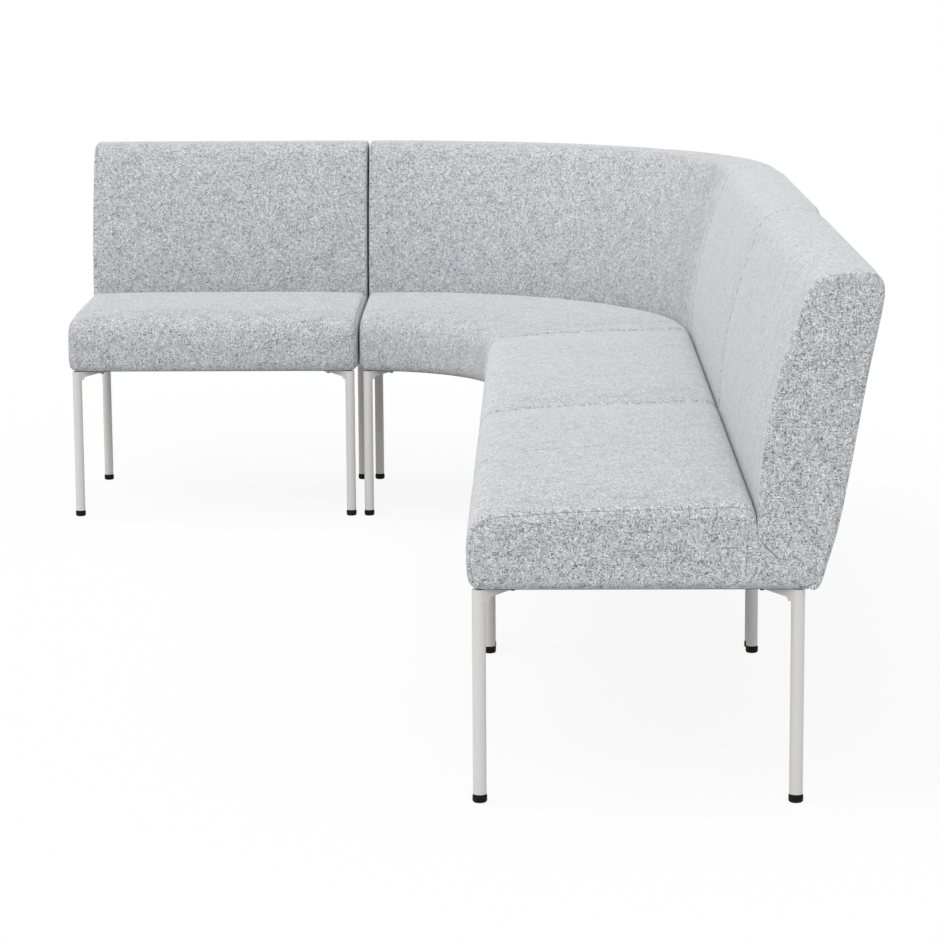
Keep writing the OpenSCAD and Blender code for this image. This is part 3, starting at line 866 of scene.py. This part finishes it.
@dataclass
class RearPanel(BackCushion):
    """The separate panel of cloth that closes a back from behind, with a slightly puffed face."""

    fill: float = 0.5
    low: float = 0.0
    high: float = 0.0
    margin: float = 0.0145
    puff: float = 0.0022
    edge_run: float = 0.012
    sink: float = 0.004
    lining: float = 0.001
    columns: int = 60
    rows: int = 30
    # Distances from the panel's ends: its close rings, and the first of the evenly spaced ones, which
    # on a curved panel is counted in margins from the module's end
    near_ends: tuple[float, ...] = (0.0, 0.004, 0.008, 0.012, 0.016)
    first_column: float = 0.03
    bend_margins: float = 3

    def rear_line(self, outline: np.ndarray, station: Station) -> np.ndarray:
        """The back's rear face from the panel's foot to its head.

        Args:
            outline: The full section.
            station: The ring's place.

        Returns:
            Rows of depth and height.
        """
        section = self.section(outline, station)
        top = int(section[:, 1].argmax())
        bottom = int(section[:, 1].argmin())
        around = np.roll(section, -top, axis=0)
        rear = around[: (bottom - top) % len(section)][::-1]
        heights = np.linspace(self.low, self.high, self.rows)
        return np.column_stack([np.interp(heights, rear[:, 1], rear[:, 0]), heights])

    def build(self) -> bpy.types.Object:
        """Makes the panel: a face that lies just proud of the back, and an inner side sunk in it.

        Returns:
            The piece, as one object.
        """
        outline = self.outline()
        rings = []
        for station, from_edge in self.panel_stations():
            line = self.rear_line(outline, station)
            slope = np.gradient(line[:, 0], line[:, 1])
            out = np.column_stack([np.ones(self.rows), -slope]) / np.sqrt(1 + slope**2)[:, None]
            run_down = np.minimum(line[:, 1] - self.low, self.high - line[:, 1])
            rise = np.array([smooth(v / self.edge_run) for v in np.minimum(run_down, from_edge)])
            face = line + out * (rise * (self.puff + self.sink) - self.sink)[:, None]
            inner = line - out * (self.sink + self.lining)
            section = np.concatenate([face, inner[::-1]])
            rings.append(Ring(self.placement.ring(station, section), section, self.along(station)))
        piece = self.mesh_from_rings(rings)
        subdivide(piece)
        return piece

    def panel_stations(self) -> list[tuple[Station, float]]:
        """The panel's rings.

        Returns:
            For each ring, its station and how far it lies from the panel's nearer end.
        """
        where = self.placement
        if where.shape is Shape.STRAIGHT:
            first, last = self.margin, where.length - self.margin
            middle = np.linspace(first + self.first_column, last - self.first_column, self.columns)
            places = [first + n for n in self.near_ends] + middle.tolist()
            places += [last - n for n in reversed(self.near_ends)]
            edges = [min(p - first, last - p) for p in places]
            return [(Station(p, crown=self.crown_at(n)), n) for p, n in zip(places, edges)]
        reach = where.radius + self.envelope.crease + self.envelope.lean
        turn = self.bend_margins * self.margin / reach
        found = [(Station(self.margin + n, crown=self.crown_at(n)), n) for n in self.near_ends]
        for angle in np.linspace(turn, math.pi / 2 - turn, self.columns).tolist():
            edge = min(angle, math.pi / 2 - angle) * reach - self.margin
            found.append((Station(angle, 0.0, self.crown_at(edge), Measure.ANGLE), edge))
        for n in reversed(self.near_ends):
            found.append((Station(self.margin + n, 0.0, self.crown_at(n), Measure.FROM_END), n))
        return found


@dataclass
class Bench:
    """The covers of the four modules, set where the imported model's modules stand."""

    envelope: Envelope = field(default_factory=Envelope.from_frame)
    end_middle_seam: float = 0.0012
    rear_swells: dict[str, float] = field(
        default_factory=lambda: {"left": 0.003, "corner": 0.003, "middle": 0.009, "end": 0.003}
    )

    def placements(self) -> dict[str, Placement]:
        """Where each module stands, from its seat cushion's box.

        Returns:
            The placements by the modules' names.
        """
        left_low, left_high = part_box("left_seat_cushion")
        corner_low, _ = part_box("corner_seat_cushion")
        centre = (corner_low.x, corner_low.y)
        found = {
            "left": Placement(Shape.STRAIGHT, (left_low.x, left_low.y), length=left_high.x - left_low.x),
            "corner": Placement(Shape.CURVED, centre, radius=left_low.y - centre[1]),
        }
        for name in ("middle", "end"):
            low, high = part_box(name + "_seat_cushion")
            found[name] = Placement(
                Shape.STRAIGHT, (low.x, high.y), run=(0.0, -1.0), back=(1.0, 0.0), length=high.y - low.y
            )
        return found

    def build_cushions(self, cover: bpy.types.Material) -> None:
        """Makes and dresses the seat, the back and the rear panel of each module.

        Args:
            cover: The wool's material.
        """
        panel_low, panel_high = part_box("rear_covers")
        for name, where in self.placements().items():
            rear = self.rear_swells[name]
            seam = self.end_middle_seam if name == "end" else 0.0
            seat = SeatCushion(name + "_seat_cushion", where, self.envelope, middle_seam=seam)
            back = BackCushion(name + "_back_cushion", where, self.envelope, rear_swell=rear)
            panel = RearPanel(
                name + "_rear", where, self.envelope, rear_swell=rear, low=panel_low.z, high=panel_high.z
            )
            for part, node in ((seat, seat.name), (back, back.name), (panel, "rear_covers")):
                piece = part.build()
                dress(piece, cover)
                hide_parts(node)
                LOG.info("made %s with %d points", piece.name, len(piece.data.vertices))


def dress(piece: bpy.types.Object, material: bpy.types.Material) -> None:
    """Gives a new piece its material and the body that it rides on.

    Args:
        piece: The piece.
        material: Its material.
    """
    piece.data.materials.clear()
    piece.data.materials.append(material)
    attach(piece, BODY)


class Graph:
    """A node tree while it is being made."""

    def __init__(self, tree: bpy.types.NodeTree) -> None:
        """Starts from an empty tree."""
        self.tree = tree
        tree.nodes.clear()

    def add(self, kind: str, inputs: dict | None = None, **settings: object) -> bpy.types.Node:
        """Adds a node.

        Args:
            kind: The node's type name.
            inputs: Sockets by name or number, each a value or another node's output.
            **settings: Attributes of the node itself.

        Returns:
            The new node.
        """
        node = self.tree.nodes.new(kind)
        for name, value in settings.items():
            setattr(node, name, value)
        for name, value in (inputs or {}).items():
            self.feed(node.inputs[name], value)
        return node

    def feed(self, socket: bpy.types.NodeSocket, value: object) -> None:
        """Feeds a socket.

        Args:
            socket: The socket.
            value: Another node's output to link, or the socket's own value.
        """
        if isinstance(value, bpy.types.NodeSocket):
            self.tree.links.new(value, socket)
        else:
            socket.default_value = value

    def math(self, operation: str, a: object, b: object = 0.0) -> bpy.types.NodeSocket:
        """A Math node's output."""
        return self.add("ShaderNodeMath", {0: a, 1: b}, operation=operation).outputs[0]

    def vector(self, operation: str, a: object, b: object) -> bpy.types.NodeSocket:
        """A Vector Math node's output, where b is a number for SCALE."""
        second = "Scale" if operation == "SCALE" else 1
        return self.add("ShaderNodeVectorMath", {0: a, second: b}, operation=operation).outputs[0]

    def weigh(self, a: object, b: object, share: float) -> bpy.types.NodeSocket:
        """The sum of two values, of which b has the given share."""
        return self.math("ADD", self.math("MULTIPLY", a, 1 - share), self.math("MULTIPLY", b, share))

    def mix(self, share: object, a: object, b: object) -> bpy.types.NodeSocket:
        """The colour between two others.

        Args:
            share: How much of b it has.
            a: The first colour.
            b: The second colour.

        Returns:
            The mix.
        """
        node = self.add("ShaderNodeMix", data_type="RGBA")
        for index, value in ((0, share), (6, a), (7, b)):
            self.feed(node.inputs[index], value)
        return node.outputs[2]

    def ramp(self, value: object, low: float, high: float) -> bpy.types.NodeSocket:
        """Stretches the range from low to high to 0 to 1 and clamps it."""
        ends = {"Value": value, "From Min": low, "From Max": high}
        return self.add("ShaderNodeMapRange", ends, clamp=True).outputs[0]

    def noise(self, place: object, scale: object, detail: float) -> bpy.types.Node:
        """A Noise Texture node."""
        return self.add("ShaderNodeTexNoise", {"Vector": place, "Scale": scale, "Detail": detail})

    def shared(self, tree: bpy.types.NodeTree, **inputs: object) -> bpy.types.NodeOutputs:
        """Places a shared group with the material's own values and gives its outputs."""
        return self.add("ShaderNodeGroup", inputs, node_tree=tree).outputs

    def relief(self, shader: bpy.types.Node, height: object, strength: float, depth: float) -> None:
        """Feeds a shader's normal with the relief of a height."""
        bump = self.add("ShaderNodeBump", {"Height": height, "Strength": strength, "Distance": depth})
        self.feed(shader.inputs["Normal"], bump.outputs[0])

    def rays(self, *kinds: str) -> bpy.types.NodeSocket:
        """A mask of kinds of ray.

        Args:
            *kinds: The outputs of Light Path to put together.

        Returns:
            A value that is 1 for these rays and 0 for others.
        """
        path = self.add("ShaderNodeLightPath").outputs
        mask = path[kinds[0]]
        for kind in kinds[1:]:
            mask = self.math("MAXIMUM", mask, path[kind])
        return mask

    def end(self, kind: str, share: object, first: bpy.types.Node, second: bpy.types.Node) -> None:
        """Ends the tree in an output node with the mix of two shaders."""
        mixed = self.add("ShaderNodeMixShader", {0: share, 1: first.outputs[0], 2: second.outputs[0]})
        self.add(kind, {"Surface": mixed.outputs[0]})


def new_group(
    name: str, inputs: dict[str, tuple[str, object]], outputs: dict[str, str]
) -> tuple[Graph, bpy.types.NodeOutputs]:
    """Starts a shader group with named sockets.

    Args:
        name: The group's name.
        inputs: For each input, its socket type and its default.
        outputs: For each output, its socket type.

    Returns:
        The group's graph, and its inputs as sockets to link from.
    """
    tree = bpy.data.node_groups.new(name, "ShaderNodeTree")
    for label, (kind, default) in inputs.items():
        socket = tree.interface.new_socket(label, in_out="INPUT", socket_type=kind)
        if default is not None:
            socket.default_value = default
    for label, kind in outputs.items():
        tree.interface.new_socket(label, in_out="OUTPUT", socket_type=kind)
    g = Graph(tree)
    return g, g.add("NodeGroupInput").outputs


FLOAT = "NodeSocketFloat"
COLOR = "NodeSocketColor"
VECTOR = "NodeSocketVector"
# A dash's length and the warp's shift from the weft in threads, and the most that a row of dashes
# is shifted along its thread, in dashes
DASH_LENGTH = 2.4
WARP_SHIFT = 53.0
DASH_STAGGER = 7.0
# How often the curls, the fuzz and the clouds of tone repeat in one thread's width
CURL_SCALE = 0.45
FUZZ_SCALE = 1.35
CLOUD_SCALE = 0.06
# How much the fuzz and the clouds count in the tone, and where it turns from one colour to the next
FUZZ_SHARE = 0.45
CLOUD_SHARE = 0.25
DARK_RANGE = (0.12, 0.42)
LIGHT_RANGE = (0.58, 0.9)
# The spots of dust repeat this often in a metre
SPOT_SCALE = 90.0
SPOT_RANGE = (0.45, 0.75)


def dash_tone(g: Graph, along: object, across: object) -> bpy.types.NodeSocket:
    """A random tone for each short dash of the threads that run one way.

    Args:
        g: The group being made.
        along: The place along the threads, counted in threads.
        across: The place across them, counted in threads.

    Returns:
        A value from 0 to 1.
    """
    thread = g.math("FLOOR", across)
    offset = g.add("ShaderNodeTexWhiteNoise", {"W": thread}, noise_dimensions="1D").outputs["Value"]
    stagger = g.math("MULTIPLY", offset, DASH_STAGGER)
    step = g.math("FLOOR", g.math("ADD", g.math("DIVIDE", along, DASH_LENGTH), stagger))
    place = g.add("ShaderNodeCombineXYZ", {0: step, 1: thread}).outputs[0]
    return g.add("ShaderNodeTexWhiteNoise", {"Vector": place}, noise_dimensions="2D").outputs["Value"]


def thread_hump(g: Graph, place: object) -> bpy.types.NodeSocket:
    """The rise and fall across one thread."""
    return g.math("SINE", g.math("MULTIPLY", g.math("FRACT", place), math.pi))


def weave_group() -> bpy.types.NodeTree:
    """Plain weave of woolly melange yarn: each short dash of yarn has its own grey.

    Returns:
        The shared group.
    """
    g, given = new_group(
        "melange weave",
        {
            "Vector": (VECTOR, None), "Threads": (FLOAT, 400.0), "Wobble": (FLOAT, 0.8),
            "Dark": (COLOR, (0.2, 0.2, 0.2, 1)), "Middle": (COLOR, (0.5, 0.5, 0.5, 1)),
            "Light": (COLOR, (0.8, 0.8, 0.8, 1)),
        },
        {"Color": COLOR, "Height": FLOAT},
    )
    counted = g.vector("SCALE", given["Vector"], given["Threads"])
    curl = g.noise(counted, CURL_SCALE, 2.0).outputs["Color"]
    sway = g.vector("SCALE", g.vector("SUBTRACT", curl, (0.5, 0.5, 0.5)), given["Wobble"])
    bent = g.vector("ADD", counted, sway)
    axes = g.add("ShaderNodeSeparateXYZ", {"Vector": bent}).outputs
    weft = dash_tone(g, axes[0], axes[1])
    warp = dash_tone(g, axes[1], g.math("ADD", axes[0], WARP_SHIFT))
    crossing = g.math("ADD", g.math("FLOOR", axes[0]), g.math("FLOOR", axes[1]))
    warp_on_top = g.math("FLOORED_MODULO", crossing, 2.0)
    tone = g.add("ShaderNodeMix", {0: warp_on_top, 2: weft, 3: warp}, data_type="FLOAT").outputs[0]
    fuzz = g.add("ShaderNodeTexVoronoi", {"Vector": bent, "Scale": FUZZ_SCALE}).outputs
    speck = g.add("ShaderNodeSeparateColor", {"Color": fuzz["Color"]}).outputs[0]
    cloud = g.math("SUBTRACT", g.noise(counted, CLOUD_SCALE, 3.0).outputs["Fac"], 0.5)
    value = g.math("ADD", g.weigh(tone, speck, FUZZ_SHARE), g.math("MULTIPLY", cloud, CLOUD_SHARE))
    dark_to_middle = g.mix(g.ramp(value, *DARK_RANGE), given["Dark"], given["Middle"])
    colour = g.mix(g.ramp(value, *LIGHT_RANGE), dark_to_middle, given["Light"])
    humps = g.math("MULTIPLY", thread_hump(g, axes[0]), thread_hump(g, axes[1]))
    curls = g.math("SUBTRACT", 1.0, fuzz["Distance"])
    g.add("NodeGroupOutput", {"Color": colour, "Height": g.weigh(humps, curls, FUZZ_SHARE)})
    return g.tree


def grain_group() -> bpy.types.NodeTree:
    """Fine surface grain: a value about 0.5 and a height, for paint, plastic, cloth and steel.

    Returns:
        The shared group.
    """
    g, given = new_group(
        "fine grain",
        {"Vector": (VECTOR, None), "Scale": (FLOAT, 300.0), "Patch": (FLOAT, 20.0)},
        {"Value": FLOAT, "Height": FLOAT},
    )
    small = g.noise(given["Vector"], given["Scale"], 2.0).outputs["Fac"]
    large = g.noise(given["Vector"], given["Patch"], 4.0).outputs["Fac"]
    g.add("NodeGroupOutput", {"Value": g.weigh(small, large, 0.5), "Height": small})
    return g.tree


def dust_group() -> bpy.types.NodeTree:
    """A mask of the dust and scuffs that gather near the floor.

    Returns:
        The shared group.
    """
    g, given = new_group("floor dust", {"Vector": (VECTOR, None), "Reach": (FLOAT, 0.05)}, {"Mask": FLOAT})
    height = g.add("ShaderNodeSeparateXYZ", {"Vector": given["Vector"]}).outputs[2]
    near = g.math("SUBTRACT", 1.0, g.math("DIVIDE", height, given["Reach"]))
    spots = g.ramp(g.noise(given["Vector"], SPOT_SCALE, 5.0).outputs["Fac"], *SPOT_RANGE)
    g.add("NodeGroupOutput", {"Mask": g.math("MULTIPLY", g.math("MAXIMUM", near, 0.0), spots)})
    return g.tree


@dataclass
class Groups:
    """The shared shader groups, each built once."""

    weave: bpy.types.NodeTree = field(default_factory=weave_group)
    grain: bpy.types.NodeTree = field(default_factory=grain_group)
    dust: bpy.types.NodeTree = field(default_factory=dust_group)


def start_material(name: str, plain: dict[str, float]) -> tuple[bpy.types.Material, Graph, bpy.types.Node]:
    """Starts a material with a Principled shader.

    Args:
        name: The material's name.
        plain: The shader's values that are the same all over, by socket.

    Returns:
        The material, its graph and the shader.
    """
    material = bpy.data.materials.new(name)
    material.use_nodes = True
    g = Graph(material.node_tree)
    shader = g.add("ShaderNodeBsdfPrincipled", plain)
    g.add("ShaderNodeOutputMaterial", {"Surface": shader.outputs[0]})
    return material, g, shader


@dataclass(frozen=True)
class WoolCover:
    """Grey melange wool with a soft bloom on its curls, painted sheen and painted seam shade."""

    dark: Colour = (0.13, 0.135, 0.146, 1)
    middle: Colour = (0.49, 0.50, 0.52, 1)
    light: Colour = (0.83, 0.84, 0.86, 1)
    # A near-black mixed in along the seams: painted shade of their grooves
    thread: Colour = (0.06, 0.06, 0.065, 1)
    seam_shade_from: tuple[float, float] = (0.2, 0.95)
    seam_shade_strength: float = 0.42
    # Painted sheen: a paler colour mixed into the base colour where the cloth is seen at a glancing angle
    painted_sheen: Colour = (0.80, 0.81, 0.83, 1)
    painted_sheen_from: tuple[float, float] = (0.74, 0.95)
    painted_sheen_share: float = 0.4
    threads: float = 430.0
    wobble: float = 0.9
    bump: float = 0.4
    depth: float = 0.0012
    roughness: float = 0.92
    specular: float = 0.2
    bloom: float = 0.25
    bloom_roughness: float = 0.45

    def build(self, groups: Groups) -> bpy.types.Material:
        """Makes the material, whose weave lies in the cloth's map.

        Args:
            groups: The shared shader groups.

        Returns:
            The material.
        """
        material, g, shader = start_material("melange wool", {
            "Roughness": self.roughness, "Specular IOR Level": self.specular,
            "Sheen Weight": self.bloom, "Sheen Roughness": self.bloom_roughness,
        })
        place = g.add("ShaderNodeUVMap", uv_map=CLOTH_MAP).outputs[0]
        yarn = g.shared(
            groups.weave, Vector=place, Threads=self.threads, Wobble=self.wobble,
            Dark=self.dark, Middle=self.middle, Light=self.light,
        )
        # Darker along the sewn lines: painted shade of the seams' grooves
        sewn = g.add("ShaderNodeAttribute", attribute_name=SEWN_MARK).outputs["Fac"]
        painted_seam_shade = g.math("MULTIPLY", g.ramp(sewn, *self.seam_shade_from), self.seam_shade_strength)
        # The colour turns paler where the surface faces away from the camera: a painted sheen
        glance = g.add("ShaderNodeLayerWeight", {"Blend": 0.5}).outputs["Facing"]
        painted_sheen_mask = g.math("MULTIPLY", g.ramp(glance, *self.painted_sheen_from), self.painted_sheen_share)
        with_painted_sheen = g.mix(painted_sheen_mask, yarn["Color"], self.painted_sheen)
        g.feed(shader.inputs["Base Color"], g.mix(painted_seam_shade, with_painted_sheen, self.thread))
        g.relief(shader, yarn["Height"], self.bump, self.depth)
        return material


@dataclass(frozen=True)
class GrainedFinish:
    """A plain finish with fine grain: paint, plastic, steel or cloth."""

    name: str
    colour: Triple
    roughness: float
    variation: float
    scale: float
    patch: float
    roughness_range: float = 0.12
    tone_range: tuple[float, float] = (0.3, 0.7)
    bump: float = 0.1
    depth: float = 0.0002
    metallic: float = 0.0
    specular: float = 0.5
    dusty: float = 0.0
    dust: Colour = (0.55, 0.53, 0.5, 1)
    dust_reach: float = 0.06

    def build(self, groups: Groups) -> bpy.types.Material:
        """Makes the material.

        Args:
            groups: The shared shader groups.

        Returns:
            The material.
        """
        plain = {"Metallic": self.metallic, "Specular IOR Level": self.specular}
        material, g, shader = start_material(self.name, plain)
        place = g.add("ShaderNodeTexCoord").outputs["Object"]
        grain = g.shared(groups.grain, Vector=place, Scale=self.scale, Patch=self.patch)
        darker = tuple(c * (1 - self.variation) for c in self.colour) + (1.0,)
        lighter = tuple(min(1.0, c * (1 + self.variation)) for c in self.colour) + (1.0,)
        colour = g.mix(g.ramp(grain["Value"], *self.tone_range), darker, lighter)
        if self.dusty:
            mask = g.shared(groups.dust, Vector=place, Reach=self.dust_reach)["Mask"]
            colour = g.mix(g.math("MULTIPLY", mask, self.dusty), colour, self.dust)
        g.feed(shader.inputs["Base Color"], colour)
        uneven = g.math("MULTIPLY", grain["Value"], self.roughness_range)
        rough = g.math("ADD", self.roughness - self.roughness_range / 2, uneven)
        g.feed(shader.inputs["Roughness"], rough)
        g.relief(shader, grain["Height"], self.bump, self.depth)
        return material


@dataclass(frozen=True)
class WavedFinish:
    """A finish of fine bands over grain: the long grain of plywood or the ribs of elastic webbing."""

    name: str
    first: Colour
    second: Colour
    bands: dict[str, float]
    direction: str
    scale: float
    patch: float
    roughness: float
    bump: float
    depth: float
    grain_in_relief: bool = True

    def build(self, groups: Groups) -> bpy.types.Material:
        """Makes the material.

        Args:
            groups: The shared shader groups.

        Returns:
            The material.
        """
        material, g, shader = start_material(self.name, {"Roughness": self.roughness})
        place = g.add("ShaderNodeTexCoord").outputs["Object"]
        wave = g.add("ShaderNodeTexWave", {"Vector": place, **self.bands}, bands_direction=self.direction)
        grain = g.shared(groups.grain, Vector=place, Scale=self.scale, Patch=self.patch)
        share = g.math("MULTIPLY", wave.outputs["Fac"], grain["Value"])
        g.feed(shader.inputs["Base Color"], g.mix(share, self.first, self.second))
        height = share if self.grain_in_relief else wave.outputs["Fac"]
        g.relief(shader, height, self.bump, self.depth)
        return material


NODE_FINISHES = {
    Slot.PAINT: GrainedFinish(
        "leg powder coat", (0.66, 0.655, 0.63), roughness=0.42, variation=0.03, scale=900.0, patch=6.0,
        bump=0.12, dusty=0.25,
    ),
    Slot.PLASTIC: GrainedFinish(
        "black plastic", (0.006, 0.006, 0.0065), roughness=0.6, variation=0.2, scale=700.0, patch=30.0,
        bump=0.15, depth=0.0003, specular=0.12, dusty=0.015,
    ),
    Slot.DUST_CLOTH: GrainedFinish(
        "dust cover cloth", (0.028, 0.028, 0.03), roughness=0.9, variation=0.4, scale=900.0, patch=40.0,
        bump=0.6, depth=0.0005,
    ),
    Slot.BLACK_STEEL: GrainedFinish(
        "black oxide screws", (0.02, 0.02, 0.021), roughness=0.4, variation=0.2, scale=800.0, patch=60.0,
    ),
    Slot.ZINC_STEEL: GrainedFinish(
        "zinc plate", (0.58, 0.58, 0.6), roughness=0.35, variation=0.12, scale=500.0, patch=35.0,
        metallic=1.0,
    ),
    Slot.WOOD: WavedFinish(
        "birch plywood", (0.62, 0.45, 0.27, 1), (0.42, 0.27, 0.14, 1),
        {"Scale": 40.0, "Distortion": 6.0, "Detail": 3.0}, "Z",
        scale=180.0, patch=9.0, roughness=0.7, bump=0.2, depth=0.0005,
    ),
    Slot.WEBBING: WavedFinish(
        "strap webbing", (0.015, 0.015, 0.016, 1), (0.06, 0.06, 0.062, 1), {"Scale": 420.0}, "DIAGONAL",
        scale=600.0, patch=30.0, roughness=0.85, bump=0.5, depth=0.0006, grain_in_relief=False,
    ),
}


def dress_nodes(groups: Groups, cover: bpy.types.Material) -> None:
    """Gives every CAD node that stays its finish.

    Args:
        groups: The shared shader groups.
        cover: The wool's material.
    """
    made = {slot.value: finish.build(groups) for slot, finish in NODE_FINISHES.items()}
    made[Slot.COVER.value] = cover
    for row in frame["record"]["subparts"]:
        node = frame["nodes"][row["node"]]
        if not node.hide_render:
            node.data.materials.clear()
            node.data.materials.append(made[row["material_slot"]])
            LOG.info("dressed %s", row["node"])


@dataclass(frozen=True)
class Studio:
    """A pale floor, two broad lamps from the left and the front, and the photograph's camera."""

    eye: Triple = (0.292, -6.4858, 1.3879)
    yaw: float = -0.02247
    pitch: float = 0.17023
    roll: float = -0.00639
    focal_pixels: float = 3153.3
    image_pixels: float = 940.0
    sensor: float = 36.0
    sight: float = 100.0
    key_from: Triple = (-0.643, 0.0, 0.766)
    fill_from: Triple = (0.0, -0.766, 0.643)
    lamp_strength: float = 1.07
    lamp_softness: float = 50.0
    ambient: float = 0.66
    floor_half: float = 30.0
    floor_tone: Colour = (0.62, 0.62, 0.62, 1)
    floor_glow: float = 1.05
    glow_share: float = 0.85

    def build(self) -> None:
        """Makes the camera, the lamps, the world and the floor."""
        self.camera()
        self.lamp("key", self.key_from)
        self.lamp("fill", self.fill_from)
        self.world()
        self.floor()
        bpy.context.scene.view_settings.view_transform = "Standard"

    def camera(self) -> None:
        """Places the camera by its yaw, its downward pitch and its roll."""
        data = bpy.data.cameras.new("camera")
        data.sensor_width = self.sensor
        data.lens = self.focal_pixels / self.image_pixels * data.sensor_width
        data.clip_end = self.sight
        camera = place_object("camera", data)
        level_reach = math.cos(self.pitch)
        ahead = Vector((
            math.sin(self.yaw) * level_reach, math.cos(self.yaw) * level_reach, -math.sin(self.pitch),
        ))
        level = Vector((math.cos(self.yaw), -math.sin(self.yaw), 0.0))
        upright = level.cross(ahead)
        right = level * math.cos(self.roll) + upright * math.sin(self.roll)
        up = upright * math.cos(self.roll) - level * math.sin(self.roll)
        turn = Matrix((right, up, -ahead)).transposed().to_4x4()
        camera.matrix_world = Matrix.Translation(self.eye) @ turn
        bpy.context.scene.camera = camera

    def lamp(self, name: str, source: Triple) -> None:
        """Adds a broad soft lamp.

        Args:
            name: The lamp's name.
            source: The direction that its light comes from.
        """
        data = bpy.data.lights.new(name, "SUN")
        data.energy = self.lamp_strength
        data.angle = math.radians(self.lamp_softness)
        lamp = place_object(name, data)
        lamp.rotation_mode = "QUATERNION"
        lamp.rotation_quaternion = Vector(source).to_track_quat("Z", "Y")

    def world(self) -> None:
        """White for the camera and through glass, and a gentler white as light."""
        world = bpy.data.worlds.new("studio")
        world.use_nodes = True
        g = Graph(world.node_tree)
        seen = g.rays("Is Camera Ray", "Is Transmission Ray")
        light = g.add("ShaderNodeBackground", {"Color": WHITE, "Strength": self.ambient})
        white = g.add("ShaderNodeBackground", {"Color": WHITE, "Strength": 1.0})
        g.end("ShaderNodeOutputWorld", seen, light, white)
        bpy.context.scene.world = world

    def floor(self) -> None:
        """A pale floor that stays white to the camera but keeps the bench's soft shadow."""
        half = self.floor_half
        mesh = bpy.data.meshes.new("floor")
        corners = [(-half, -half, 0), (half, -half, 0), (half, half, 0), (-half, half, 0)]
        mesh.from_pydata(corners, [], [(0, 1, 2, 3)])
        floor = place_object("floor", mesh)
        material = bpy.data.materials.new("pale floor")
        material.use_nodes = True
        g = Graph(material.node_tree)
        seen = g.rays("Is Camera Ray", "Is Transmission Ray", "Is Glossy Ray")
        matt = g.add("ShaderNodeBsdfDiffuse", {"Color": self.floor_tone})
        glow = g.add("ShaderNodeEmission", {"Color": WHITE, "Strength": self.floor_glow})
        g.end("ShaderNodeOutputMaterial", g.math("MULTIPLY", seen, self.glow_share), matt, glow)
        mesh.materials.append(material)


def main() -> None:
    """Builds the studio, the cushions and the finishes in order."""
    logging.basicConfig(level=logging.INFO, format="%(message)s")
    Studio().build()
    groups = Groups()
    cover = WoolCover().build(groups)
    Bench().build_cushions(cover)
    dress_nodes(groups, cover)


if __name__ == "__main__":
    main()
